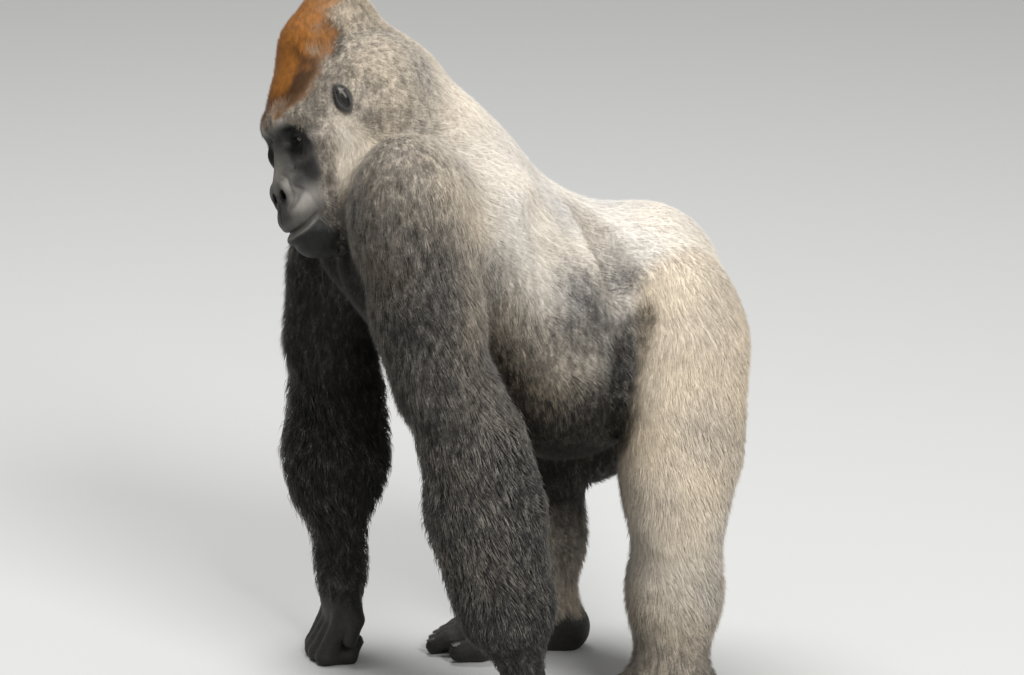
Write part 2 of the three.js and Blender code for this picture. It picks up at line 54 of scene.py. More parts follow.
# ---- Driving dimensions, the same as the part's ----
EYE_R = 12
EYE_AT = (80, 37, 9)  # in the head's own axes: forward, left, up
EAR_AT = (20, 97, 26)
FINGER_R = 15.5
TOE_R = 14
PRESSED = 4
HEAD_AT = np.array([-317, -8, 951], float)
HEAD_YAW, HEAD_PITCH, HEAD_ROLL = 24, 16, 25  # degrees
JOINTS = {
    "left": dict(
        shoulder=(-252, -200, 864), elbow=(-184, -282, 536), wrist=(-84, -250, 162),
        knuckle=(-74, -245, 72), cuff=0.84, girth=1.0,
        hip=(212, -118, 668), knee=(188, -205, 395), ankle=(186, -192, 82),
        toe=(40, -222, 24), ham=(36, 0, -6),
    ),
    "right": dict(
        shoulder=(-238, 200, 850), elbow=(-274, 262, 476), wrist=(-262, 228, 152),
        knuckle=(-268, 224, 72), cuff=0.56, girth=0.94,
        hip=(212, 118, 668), knee=(55, 196, 380), ankle=(66, 176, 82),
        toe=(-82, 205, 24), ham=(72, 0, -66),
    ),
}
SIDES = {"left": -1, "right": 1}  # sign of Y


# ---- Small helpers on arrays of points ----
def arr(*v):
    return np.array(v[0] if len(v) == 1 else v, float)


def unit(v):
    v = np.asarray(v, float)
    return v / np.maximum(np.linalg.norm(v, axis=-1, keepdims=True), 1e-9)


def dots(a, b):
    return (a * b).sum(-1)


def mix(a, b, t):
    return a + (b - a) * t


def smooth(low, high, x):
    t = np.clip((x - low) / (high - low), 0, 1)
    return t * t * (3 - 2 * t)


# ---- Field: distance in mm to a mass, below zero inside ----
def ball(centre, radii):
    c, r = arr(centre), arr(radii)

    def mass(p):
        q = (p - c) / r
        k0 = np.sqrt(dots(q, q))
        q = q / r
        return k0 * (k0 - 1) / np.maximum(np.sqrt(dots(q, q)), 1e-9)

    return mass


def cone(a, b, ra, rb):
    """A cone with round ends, from a sphere of radius ra at a to one of radius rb at b."""
    a, b = arr(a), arr(b)
    ab = b - a
    l2 = ab @ ab
    rr = ra - rb
    a2 = l2 - rr * rr

    def mass(p):
        pa = p - a
        y = pa @ ab
        z = y - l2
        side = pa * l2 - y[:, None] * ab
        x2 = dots(side, side)
        y2, z2 = y * y * l2, z * z * l2
        k = np.sign(rr) * rr * rr * x2
        d = (np.sqrt(x2 * a2 / l2) + y * rr) / l2 - ra
        d = np.where(np.sign(y) * a2 * y2 < k, np.sqrt(x2 + y2) / l2 - ra, d)
        return np.where(np.sign(z) * a2 * z2 > k, np.sqrt(x2 + z2) / l2 - rb, d)

    return mass


def blend(a, b, k):
    h = np.maximum(k - np.abs(a - b), 0) / k
    return np.minimum(a, b) - h * h * k / 4


def carve(a, b, k):
    return -blend(-a, b, k)


def together(rows):
    def mass(p):
        d = np.full(len(p), 1e4)
        for each, k in rows:
            d = blend(d, each(p), k)
        return d

    return mass


def chain(places, radii, ks):
    """Rows of cones from place to place, each with how softly it joins what is there."""
    ends = zip(places, places[1:], radii, radii[1:])
    return [(cone(*each), k) for each, k in zip(ends, ks)]


# ---- Head, in its own axes ----
def head_axes():
    def turn(v, w, degrees):
        c, s = math.cos(math.radians(degrees)), math.sin(math.radians(degrees))
        return v * c + w * s, w * c - v * s

    yaw = math.radians(HEAD_YAW)
    forward = arr(-math.cos(yaw), -math.sin(yaw), 0)
    left = arr(math.sin(yaw), -math.cos(yaw), 0)
    forward, up = turn(forward, arr(0, 0, 1), -HEAD_PITCH)
    left, up = turn(left, up, HEAD_ROLL)
    return np.array([forward, left, up])


HEAD_AXES = head_axes()


def to_head(p):
    return (p - HEAD_AT) @ HEAD_AXES.T


def from_head(h):
    return HEAD_AT + np.asarray(h, float) @ HEAD_AXES


def both(make):
    return [make(1), make(-1)]


head_masses = together([
    (ball((-34, 0, 34), (96, 80, 96)), 10),  # braincase and nape muscle
    (cone((45, 0, 67), (-30, 0, 125), 41, 51.5), 34),  # forehead slope
    (cone((-30, 0, 125), (-87, 0, 145), 51.5, 63), 30),  # crest and its fat pad
    (cone((-98, 0, 102), (-136, 0, 14), 56, 70), 30),  # nape
    *both(lambda s: (ball((24, s * 44, 36), (62, 33, 56)), 30)),  # temple
    *both(lambda s: (cone((90, s * 12, 50), (76, s * 58, 40), 21, 17), 18)),  # brow
    *both(lambda s: (cone((80, s * 60, 0), (20, s * 74, -12), 17, 22), 22)),  # cheekbone
    *both(lambda s: (cone((16, s * 52, -50), (52, s * 54, -122), 42, 36), 36)),  # jaw
    *both(lambda s: (ball((70, s * 44, -36), (34, 28, 44)), 24)),  # cheek
    (cone((94, 0, 12), (120, 0, -44), 18, 22), 18),  # nose bridge
    (ball((102, 0, -80), (50, 50, 50)), 26),  # muzzle
    *both(lambda s: (ball((126, s * 20, -54), (18, 19, 17)), 10)),  # nose wing
    (ball((118, 0, -98), (45, 50, 29)), 14),  # upper lip
    (ball((126, 0, -129), (37, 42, 16)), 9),  # lower lip
    (ball((110, 0, -146), (44, 42, 27)), 16),  # chin
    (ball((46, 0, -122), (76, 54, 52)), 40),  # floor of the mouth
])
sockets = both(lambda s: ball((100, s * 37, 10), (19, 20, 14)))
nostrils = both(lambda s: ball((143, s * 14, -55), (13, 9, 9)))


def head_field(p):
    h = to_head(p)
    d = head_masses(h)
    for socket in sockets:
        d = carve(d, socket(h), 12)
    for nostril in nostrils:
        d = carve(d, nostril(h), 6)
    return d


# ---- Neck and trunk ----
trunk_masses = together([
    (cone((-262, 0, 980), (-150, 0, 868), 118, 112), 40),  # neck
    (cone((-170, 0, 880), (-30, 0, 735), 108, 112), 60),  # back muscle between the shoulders
    (ball((-140, 0, 738), (165, 200, 180)), 60),  # chest
    (ball((-14, 0, 622), (162, 250, 200)), 60),  # lower ribs
    (ball((50, 0, 562), (156, 222, 174)), 50),  # belly
    (cone((62, 0, 667), (178, 0, 662), 142, 134), 40),  # loin
    (ball((196, 0, 645), (108, 150, 132)), 40),  # pelvis
    *both(lambda s: (ball((234, s * 84, 580), (98, 86, 115)), 40)),  # buttock
    *both(lambda s: (ball((-120, s * 130, 785), (118, 92, 120)), 60)),  # shoulder blade
    *both(lambda s: (ball((-250, s * 92, 745), (80, 96, 90)), 50)),  # breast
    *both(lambda s: (cone((-216, s * 170, 846), (-96, s * 150, 800), 88, 72), 40)),  # arm to blade
    *both(lambda s: (cone((-66, s * 146, 846), (-34, s * 188, 706), 40, 44), 24)),  # back of the shoulder
    *both(lambda s: (cone((30, s * 52, 790), (46, s * 146, 724), 42, 40), 20)),  # edge of the ribs
])
rib_hollows = together(both(lambda s: (cone((74, s * 64, 824), (106, s * 142, 726), 24, 32), 1)))
hollows = together([
    *both(lambda s: (ball((128, s * 206, 740), (44, 56, 70)), 1)),  # in front of the hip
    *both(lambda s: (cone((-6, s * 204, 846), (2, s * 252, 730), 45, 45), 1)),  # between shoulder and ribs
    (rib_hollows, 1),
])


def trunk_field(p):
    return carve(trunk_masses(p), hollows(p), 28)


# ---- Limbs ----
def along(bone, t0, t1, r0, r1, shift=(0, 0, 0)):
    a, b = arr(bone[0]), arr(bone[1])
    return cone(mix(a, b, t0) + shift, mix(a, b, t1) + shift, r0, r1)


def arm_of(joint, s):
    upper = (joint["shoulder"], joint["elbow"])
    fore = (joint["elbow"], joint["wrist"])
    g, cuff = joint["girth"], joint["cuff"]
    return together([
        (ball(arr(joint["shoulder"]) + (8, s * 8, 0), (85 * g, 92, 112)), 10),  # deltoid
        (along(upper, 0.22, 0.5, 85 * g, 87 * g), 40),  # biceps
        (along(upper, 0.5, 0.85, 86 * g, 82 * g, (-11, 0, 0)), 34),  # triceps
        (along(upper, 0.92, 1.0, 74 * g, 76 * g, (14, 0, -8)), 30),  # elbow
        (along(fore, 0.14, 0.42, 88 * g, 88 * g, (11, 0, 0)), 30),  # forearm muscle
        (along(fore, 0.42, cuff, 88 * g, 82 * g, (-3, 0, 0)), 40),  # forearm hair
        (along(fore, cuff, 1.02, 56, 42), 24),  # wrist
    ])


FINGERS = (-1.5, -0.5, 0.5, 1.5)
FINGER_PITCH = 27


def finger_of(palm, f):
    """A bent finger's root, middle knuckle, last knuckle and tip."""
    across = f * FINGER_PITCH
    bend = arr(palm[0] - 38 + 3 * f * f, palm[1] + across, FINGER_R + 1 - PRESSED)
    heel = arr(palm[0] + 6, palm[1] + across, FINGER_R - PRESSED)
    return palm + (-4, across, -4), bend, heel, arr(palm[0] + 20, palm[1] + across * 0.96, FINGER_R + 20)


def hand_of(joint, s):
    """Four fingers bent under, on the backs of their middle bones, and a short thumb beside them."""
    wrist, palm = arr(joint["wrist"]), arr(joint["knuckle"])
    rows = [(cone(wrist, palm + (4, 0, 28), 40, 34), 10)]
    for f in FINGERS:
        rows.append((cone(wrist + (0, f * 14, -12), palm + (0, f * FINGER_PITCH, 0), 22, 19), 16))
    for f in FINGERS:
        rows += chain(finger_of(palm, f), (FINGER_R + 2, FINGER_R + 1, FINGER_R, FINGER_R - 3), (8, 6, 6))
    thumb = (wrist + (6, -s * 34, -34), palm + (14, -s * 62, 8), palm + (4, -s * 66, -26))
    return together(rows + chain(thumb, (19, 15, 12), (14, 6)))


def leg_of(joint, s):
    thigh = (joint["hip"], joint["knee"])
    shank = (joint["knee"], joint["ankle"])
    return together([
        (ball(arr(joint["hip"]) + (2, s * 8, -34), (90, 88, 104)), 10),  # hip
        (along(thigh, 0.3, 0.94, 91, 86, (-10, 0, 0)), 40),  # thigh
        (along(thigh, 0.3, 0.86, 84, 76, joint["ham"]), 40),  # back of the thigh
        (along(shank, 0, 0.1, 80, 78), 30),  # knee
        (along(shank, 0.2, 0.62, 77, 74, (4, 0, 0)), 40),  # calf
        (along(shank, 0.6, 0.98, 74, 60), 40),  # ankle hair
    ])


def flat(p, z):
    return arr(p[0], p[1], z)


def toes_of(joint, s):
    """Each toe as its root, its bend and its tip, from the inner small toe out, with the great toe last."""
    ankle, toe = arr(joint["ankle"]), arr(joint["toe"])
    ahead = unit(flat(toe - ankle, 0))
    spread = arr(-ahead[1], ahead[0], 0)
    out = s * np.sign(spread[1])
    ball_of = mix(ankle, toe, 0.72)
    found = []
    for t in range(4):
        root = ball_of + spread * out * (t * 24 - 18) + ahead * (8 - t * t * 2)
        bend = root + ahead * 38
        tip = root + ahead * (64 - t * 2)
        found.append((flat(root, 26), flat(bend, 24), flat(tip, TOE_R)))
    root = mix(ankle, toe, 0.34) - spread * out * 30
    bend = root + ahead * 52 - spread * out * 30
    tip = bend + ahead * 38 - spread * out * 4
    found.append((flat(root, 34), flat(bend, 25), flat(tip, 18)))
    return found


def foot_of(joint, s):
    ankle = arr(joint["ankle"])
    ball_of = mix(ankle, arr(joint["toe"]), 0.72)
    heel = arr(ankle[0] + 42, ankle[1], 30 - PRESSED)
    rows = [
        (cone(ankle, flat(heel, 40), 52, 38), 10),  # heel
        (cone(ankle + (-6, 0, -16), flat(ball_of, 34), 46, 33), 30),  # instep
        (cone(heel, flat(ball_of, 27), 30, 27), 20),  # sole
    ]
    *small, great = toes_of(joint, s)
    for toe in small:
        rows += chain(toe, (19, TOE_R + 1, TOE_R - 1), (12, 6))
    rows.append((cone(great[0], great[1], 30, 21), 20))
    rows.append((cone(flat(great[1], 24), great[2], 21, 16), 8))
    return together(rows)


LIMBS = [
    dict(side=side, s=s, joint=JOINTS[side], arm=arm_of(JOINTS[side], s), hand=hand_of(JOINTS[side], s),
         leg=leg_of(JOINTS[side], s), foot=foot_of(JOINTS[side], s))
    for side, s in SIDES.items()
]
HAND_TOP, FOOT_TOP = 260, 200  # the heights under which hands and feet can be
WRIST_JOIN, ANKLE_JOIN, HEAD_JOIN = 22, 24, 34  # mm over which the flesh runs together
LIMB_JOIN = 10  # the same for a limb and the trunk, away from its joint
SHOULDER_JOIN, HIP_JOIN = (110, 260), (70, 240)  # how much more at the joint, and how far from it


def below(top, mass, p):
    """The mass where it can be, and far away elsewhere, which saves most of the work."""
    d = np.full(len(p), 1e4)
    low = p[:, 2] < top
    if low.any():
        d[low] = mass(p[low])
    return d


def reach(p, joint, wide, span):
    """How far a limb's flesh runs into the trunk: wide at its joint, and hardly at all further away."""
    return LIMB_JOIN + wide * (1 - smooth(0, span, np.linalg.norm(p - arr(joint), axis=1)))


def parts(p):
    """Distances in mm from the points to each of the animal's main masses."""
    found = dict(trunk=trunk_field(p), head=head_field(p))
    for limb in LIMBS:
        side = limb["side"]
        found["arm_" + side] = limb["arm"](p)
        found["leg_" + side] = limb["leg"](p)
        found["hand_" + side] = below(HAND_TOP, limb["hand"], p)
        found["foot_" + side] = below(FOOT_TOP, limb["foot"], p)
    return found


def whole(p, d=None):
    """The coat's outer surface."""
    d = d or parts(p)
    f = d["trunk"]
    for limb in LIMBS:
        side, joint = limb["side"], limb["joint"]
        arm = blend(d["arm_" + side], d["hand_" + side], WRIST_JOIN)
        leg = blend(d["leg_" + side], d["foot_" + side], ANKLE_JOIN)
        f = blend(f, arm, reach(p, joint["shoulder"], *SHOULDER_JOIN))
        f = blend(f, leg, reach(p, joint["hip"], *HIP_JOIN))
    f = blend(f, d["head"], HEAD_JOIN)
    return np.maximum(f, -p[:, 2])


# ---- Where the frame has it ----
def shift_of_frame():
    low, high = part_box("eye_left")
    return (arr(low) + arr(high)) / 2 / MM - from_head(EYE_AT)


SHIFT = shift_of_frame()


def to_frame(p):
    return (np.asarray(p, float) + SHIFT) * MM


# ---- From the field to a mesh ----
def planes(*stretches):
    """Grid planes along one axis, with a cell size that may differ from stretch to stretch."""
    at = [float(stretches[0][0])]
    for low, high, cell in stretches:
        n = max(1, round((high - low) / cell))
        at += [low + (high - low) * (i + 1) / n for i in range(n)]
    return np.array(at)


COARSE = 4  # the field is first looked at on every fourth plane


def grid_values(field, axes, near):
    """The field on the grid, true near the surface, and only its sign elsewhere."""
    n = [len(a) for a in axes]
    coarse = [a[np.minimum(np.arange(0, len(a) + COARSE - 1, COARSE), len(a) - 1)] for a in axes]
    points = np.stack(np.meshgrid(*coarse, indexing="ij"), -1)
    rough = field(points.reshape(-1, 3)).reshape(points.shape[:3])
    close = np.abs(rough) < near
    active = np.zeros([m - 1 for m in rough.shape], bool)
    for corner in np.ndindex(2, 2, 2):
        active |= close[tuple(slice(c, m - 1 + c) for c, m in zip(corner, rough.shape))]
    spread = active
    for axis in range(3):
        spread = np.repeat(spread, COARSE, axis)
    mask = np.zeros(n, bool)
    for corner in np.ndindex(2, 2, 2):  # a block's planes on both of its sides
        target = tuple(slice(c, c + m) for c, m in zip(corner, spread.shape))
        part = mask[target]
        part |= spread[tuple(slice(0, k) for k in part.shape)]
    value = rough
    for axis in range(3):
        value = np.take(value, np.arange(n[axis]) // COARSE, axis)
    where = np.argwhere(mask)
    points = np.stack([axes[i][where[:, i]] for i in range(3)], 1)
    value[mask] = field(points)
    return value


def surface_net(value, axes):
    """Points and quads of the zero surface: one point in each cell it crosses, one quad round each edge."""
    n = np.array(value.shape)
    cells = n - 1
    places, cell_ids, quads = [], [], []
    for axis in range(3):
        low = tuple(slice(0, -1) if i == axis else slice(None) for i in range(3))
        high = tuple(slice(1, None) if i == axis else slice(None) for i in range(3))
        a, b = value[low], value[high]
        at = np.argwhere((a < 0) != (b < 0))
        va, vb = a[tuple(at.T)], b[tuple(at.T)]
        place = np.stack([axes[i][at[:, i]] for i in range(3)], 1)
        ahead = axes[axis][at[:, axis] + 1]
        place[:, axis] += (ahead - place[:, axis]) * va / (va - vb)
        u, v = np.eye(3, dtype=int)[[(axis + 1) % 3, (axis + 2) % 3]]
        ring = [at - u - v, at - v, at, at - u]
        fits = np.all([((c >= 0) & (c < cells)).all(1) for c in ring], 0)
        ids = [np.ravel_multi_index(np.where(fits[:, None], c, 0).T, cells) for c in ring]
        for each in ids:
            places.append(place[fits])
            cell_ids.append(each[fits])
        quad = np.stack(ids, 1)[fits]
        inside = (va < 0)[fits]
        quad[~inside] = quad[~inside][:, ::-1]
        quads.append(quad)
    cell_ids = np.concatenate(cell_ids)
    places = np.concatenate(places)
    used, index, count = np.unique(cell_ids, return_inverse=True, return_counts=True)
    points = np.stack([np.bincount(index, places[:, i]) / count for i in range(3)], 1)
    quads = np.searchsorted(used, np.concatenate(quads))
    return points, quads


def slope(field, p, step=0.6):
    """The field's value and slope at the points."""
    f = field(p)
    g = np.stack([(field(p + np.eye(3)[i] * step) - f) / step for i in range(3)], 1)
    return f, g


def settle(field, p, limit, rounds=2):
    """Moves points onto the surface, each round by no more than the limit."""
    f, g = slope(field, p)
    for again in range(rounds):
        f = field(p) if again else f
        move = -f[:, None] * g / np.maximum(dots(g, g), 0.25)[:, None]
        far = np.linalg.norm(move, axis=1, keepdims=True)
        p = p + move * np.minimum(1, limit / np.maximum(far, 1e-9))
    return p


# ---- Patterns ----
def waves(seed, size, count=7):
    """A smooth random field of about -1 to 1, whose bumps are about size mm across."""
    random = np.random.default_rng(SEED + seed)
    turns = unit(random.normal(size=(count, 3))) * random.uniform(0.7, 1.4, (count, 1)) * math.pi / size
    phases = random.uniform(0, 2 * math.pi, count)
    return lambda p: np.sin(p @ turns.T + phases).sum(1) / math.sqrt(count)


def ramp(x, *points):
    """A value for each x, straight between the (x, value) points."""
    xs, values = zip(*points)
    return np.interp(x, xs, values)


def hump(x, middle, wide):
    return np.exp(-(((x - middle) / wide) ** 2))


# ---- Face: what the skin adds to the head's masses ----
def mirrored(h):
    return np.stack([h[:, 0], np.abs(h[:, 1]), h[:, 2]], 1)


def on_face(left, up):
    """The point of the face's front at this place, found along the forward axis."""
    forward = np.arange(30, 190, 1.0)
    h = np.stack([forward, np.full(len(forward), float(left)), np.full(len(forward), float(up))], 1)
    inside = head_masses(h) < 0
    return arr(forward[np.argmax(~inside & (np.arange(len(forward)) > np.argmax(inside)))], left, up)


def crease(deep, wide, *places):
    """A groove, or a ridge where deep is below zero, along a line of (left, up) places, on both sides."""
    line = [on_face(*place) for place in places]
    for _ in range(2):  # cut the line's corners, so that it runs smoothly
        cut = [line[0]]
        for a, b in zip(line, line[1:]):
            cut += [mix(a, b, 0.25), mix(a, b, 0.75)]
        line = cut + [line[-1]]
    ends = [(a, b - a, (b - a) @ (b - a)) for a, b in zip(line, line[1:])]

    def shape(h):
        near = np.full(len(h), 1e9)
        for a, ab, l2 in ends:
            q = h - a
            q = q - np.clip(q @ ab / l2, 0, 1)[:, None] * ab
            near = np.minimum(near, dots(q, q))
        return deep * np.exp(-near / wide**2)

    return shape


EYE_FORWARD, EYE_LEFT, EYE_UP = EYE_AT
NOSTRIL = (14, -57)  # left, up
FACE_FROM = 60  # no crease is further back than this

FACE_CREASES = [crease(*row) for row in (  # depth and width, and the (left, up) places along it
    (6.5, 2.6, (0, -118), (16, -117.5), (32, -114.5), (42, -111), (49, -107)),  # between the lips
    (-1.3, 3.5, (0, -111), (18, -110.5), (34, -107)),  # rim of the upper lip
    (-2.2, 4.2, (0, -126), (18, -125), (34, -120.5), (44, -114)),  # lower lip
    (2.4, 5, (0, -141), (20, -139), (34, -132)),  # under the lower lip
    (3.4, 2.6, (17, -30), (26, -36), (32, -48), (33, -60), (29, -72), (22, -80)),  # round the nose wing
    (-3.0, 4.4, (10, -38), (19, -41), (25, -50), (26, -60), (22, -69)),  # nose wing
    (2.6, 3.0, (0, -40), (0, -52), (0, -68)),  # between the nostrils
    (-1.6, 3.2, (5, -70), (7, -80)),  # under the nostrils
    (1.2, 3.0, (0, -74), (0, -96)),  # down the upper lip
    (2.2, 4.0, (36, -52), (45, -70), (50, -88), (51, -104)),  # from the nose to the mouth's corner
    (1.8, 2.2, (20, -2), (27, -11), (38, -14), (50, -9)),  # under the lower lid
    (1.6, 2.6, (17, -8), (25, -19), (38, -23), (54, -16)),  # bag under the eye
    (1.2, 3.0, (16, -14), (24, -28), (36, -36), (52, -34)),
    (1.6, 2.2, (21, 14), (27, 22), (38, 24.5), (50, 19)),  # over the upper lid
    (1.6, 3.0, (5, 36), (6, 20), (8, 4)),  # beside the root of the nose
    (2.0, 5.0, (0, 66), (0, 44), (0, 30)),  # the middle of the brow
)]
LID = EYE_R + 1.8
lid_balls = both(lambda s: ball((EYE_FORWARD, s * EYE_LEFT, EYE_UP), (LID,) * 3))
lid_gaps = both(lambda s: ball((97, s * (EYE_LEFT + 0.5), EYE_UP - 1), (13, 11, 5.2)))
eyeballs = both(lambda s: ball((EYE_FORWARD, s * EYE_LEFT, EYE_UP), (EYE_R - 1.6,) * 3))
nose_sides = both(lambda s: cone((86, s * 22, 10), (90, s * 25, -30), 11, 14))
deep_nostrils = both(lambda s: ball((138, s * NOSTRIL[0], NOSTRIL[1]), (17, 7.6, 8.4)))


def skull_field(h):
    """The bare head with its eyelids, folds, nose and lips."""
    d = head_masses(h)
    steps = (blend, nose_sides, 16), (carve, sockets, 12), (blend, lid_balls, 15), (carve, lid_gaps, 1.6)
    for join, pair, k in steps:
        for each in pair:
            d = join(d, each(h), k)
    for eyeball in eyeballs:  # the skin closes behind the eyes
        d = np.minimum(d, eyeball(h))
    front = h[:, 0] > FACE_FROM
    q = mirrored(h[front])
    d[front] = d[front] + sum(shape(q) for shape in FACE_CREASES)
    for nostril in deep_nostrils:
        d = carve(d, nostril(h), 4)
    return d


# ---- Ears ----
EAR_TURN = math.radians(24)
EAR_RISE, EAR_SIZE = 7, 0.82  # the ear that shows above the hair is smaller and higher than the part's
EAR_REACH = 60


def ear_places(h, s):
    """Head places in the ear's own axes and scale: towards the face, out of the head, up."""
    q = (h - arr(EAR_AT[0], s * EAR_AT[1], EAR_AT[2] + EAR_RISE)) / EAR_SIZE
    ahead, out = q[:, 0], q[:, 1] * s
    c, n = math.cos(EAR_TURN), math.sin(EAR_TURN)
    return np.stack([ahead * c - out * n, ahead * n + out * c, q[:, 2]], 1)


def ring(centre, radii, thick):
    """An oval rim that stands in the plane of the first and last axes."""
    def mass(q):
        x, z = (q[:, 0] - centre[0]) / radii[0], (q[:, 2] - centre[2]) / radii[1]
        r = np.sqrt(x * x + z * z)
        across = (r - 1) * np.sqrt((radii[0] * x) ** 2 + (radii[1] * z) ** 2) / np.maximum(r, 0.05)
        return np.hypot(across, q[:, 1] - centre[1]) - thick

    return mass


ear_masses = together([
    (ball((0, -8, -2), (12, 10, 21)), 10),  # root
    (ball((-1, -1, 0), (13, 4.5, 25)), 6),  # plate
    (ring((0, 7, 1), (11, 23), 2.8), 3),  # rim
    (ring((-1, 4, 3), (5, 14), 2.1), 2),  # inner fold
    (ball((11, 4, -7), (4, 6, 7)), 4),  # the flap in front of the hole
    (ball((3, 3, -25), (7, 5, 6)), 6),  # lobe
])
ear_hole = ball((3.5, 5, -5), (5.5, 11, 11))


def ear_field(h):
    d = np.full(len(h), 1e4)
    for s in (1, -1):
        q = ear_places(h, s)
        near = dots(q, q) < EAR_REACH**2
        if near.any():
            d[near] = np.minimum(d[near], EAR_SIZE * carve(ear_masses(q[near]), ear_hole(q[near]), 3))
    return d


folds = together([  # in front of the thighs and between the buttocks
    (cone((132, -190, 664), (108, -206, 622), 8, 12), 1),
    *chain([(108, -206, 622), (98, -216, 580), (92, -214, 531), (92, -182, 470)], (13,) * 4, (1,) * 3),
    *chain([(296, 0, 668), (311, 0, 612), (296, 0, 548)], (8,) * 3, (1,) * 2),
    *chain([(128, 190, 672), (62, 220, 606), (20, 216, 530), (4, 190, 480)], (8,) * 4, (1,) * 3),
])


def folded(p, d=None):
    return carve(whole(p, d), folds(p), 22)


# ---- The coat: how deep, how long, which way it lies and what colour it is, all over the body ----
FACE_SIDE = (  # up, and how far the bare face reaches to each side
    (-185, 20), (-153, 46), (-123, 52), (-87, 52), (-58, 56), (-27, 68), (0, 75), (14, 70),
    (24, 62), (34, 53), (42, 46), (54, 38),
)
FACE_BACK = (  # up, and how far forward the hair reaches
    (-185, 112), (-153, 102), (-123, 98), (-87, 103), (-58, 94), (-27, 80), (5, 66), (60, 58),
)
BROW_TOP = 45


def face_edge(h):
    """How far inside the bare face a head place is, in mm: below zero in the hair."""
    side = ramp(h[:, 2], *FACE_SIDE) - np.abs(h[:, 1])
    back = h[:, 0] - ramp(h[:, 2], *FACE_BACK)
    return np.minimum(np.minimum(side, back), BROW_TOP - h[:, 2])


ARM_JOINTS = ("shoulder", "elbow", "wrist")
LEG_JOINTS = ("hip", "knee", "ankle")


def limb_joints(p, names):
    """For each side, which places are its own, and where the limb's three joints are."""
    for limb in LIMBS:
        yield p[:, 1] * limb["s"] > 0, [arr(limb["joint"][name]) for name in names]


def along_limb(p, names):
    """0, 1 and 2 at a limb's three joints, for places beside its bones."""
    def share(q, low, high):
        return (q - low) @ (high - low) / ((high - low) @ (high - low))

    at = np.zeros(len(p))
    for mine, (a, b, c) in limb_joints(p, names):
        upper, lower = share(p[mine], a, b), share(p[mine], b, c)
        at[mine] = np.where(lower > 0, 1 + np.clip(lower, 0, 1.4), np.clip(upper, -0.4, 1))
    return at


def down_limb(p, names, at, back):
    """The way down a limb's bones, and a little back."""
    way = np.zeros((len(p), 3))
    for mine, (a, b, c) in limb_joints(p, names):
        down = mix(unit(b - a), unit(c - b), smooth(0.7, 1.3, at)[:, None])
        way = np.where(mine[:, None], unit(down + arr(back, 0, 0)), way)
    return way


SPINE = ((-300, 1060), (-150, 985), (0, 850), (100, 800), (200, 790), (300, 740))  # x, and its height
patchy = waves(1, 60)
mottled = waves(2, 22)
swirl = [waves(3 + i, 70) for i in range(3)]
ruffle = [waves(6 + i, 16) for i in range(3)]


def cover(p, d=None):
    """Which part each place belongs to, where the skin is bare, and how deep the coat is."""
    d = d or parts(p)
    h = to_head(p)
    trunk, head = d["trunk"], d["head"]
    arms = np.minimum(d["arm_left"], d["arm_right"])
    legs = np.minimum(d["leg_left"], d["leg_right"])
    is_head = smooth(14, -14, head - np.minimum(trunk, arms))
    is_arm = smooth(16, -16, arms - np.minimum(np.minimum(trunk, head), legs))
    is_leg = smooth(16, -16, legs - np.minimum(trunk, arms))
    arm_at, leg_at = along_limb(p, ARM_JOINTS), along_limb(p, LEG_JOINTS)
    under = ramp(p[:, 0], *SPINE) - p[:, 2]

    rough = mottled(p)
    edge = face_edge(h) + 3 * rough
    face = smooth(-5, 5, edge) * (h[:, 0] > 30) * is_head
    q = ear_places(mirrored(h), 1)
    in_ear = smooth(1.06, 0.94, np.hypot(q[:, 0] / 12.5, (q[:, 2] - 1) / 25)) * smooth(-8, -4, q[:, 1])
    ear = np.maximum(smooth(5, 2, ear_field(h)), in_ear)
    hand = smooth(126, 96, p[:, 2] + 8 * rough) * (np.minimum(d["hand_left"], d["hand_right"]) < 30)
    foot = smooth(84, 58, p[:, 2] + 6 * rough) * (np.minimum(d["foot_left"], d["foot_right"]) < 30)
    bare = np.maximum.reduce([face, ear, hand, foot])

    found = dict(is_head=is_head, is_arm=is_arm, is_leg=is_leg, arm_at=arm_at, leg_at=leg_at,
                 under=under, bare=bare, rough=rough, head=h)
    depth = joined(
        found,
        ramp(under, (0, 5), (150, 6), (300, 8), (420, 9)),
        ramp(arm_at, (-0.4, 5), (0, 6), (0.4, 9), (1, 12), (1.6, 13), (1.9, 8), (2.2, 2)),
        ramp(leg_at, (-0.4, 6), (0.4, 7), (1, 9), (1.7, 9), (2, 6), (2.3, 2)),
        ramp(h[:, 2], (-180, 8), (-60, 7), (20, 5), (180, 4.5)),
    )
    near_face = smooth(22, 0, -edge) * is_head
    near_ear = smooth(46, 26, np.linalg.norm(mirrored(h) - arr(EAR_AT), axis=1))
    found["near_face"] = np.maximum(near_face, near_ear) * (1 - bare)  # short round the face and the ears
    found["depth"] = depth * (1 - bare) * mix(1, 0.4, found["near_face"])
    return found


def joined(found, on_trunk, on_arm, on_leg, on_head):
    """One value from the four parts' values, running over from one to the next."""
    value = mix(on_trunk, on_leg, found["is_leg"])
    value = mix(value, on_arm, found["is_arm"])
    return mix(value, on_head, found["is_head"])


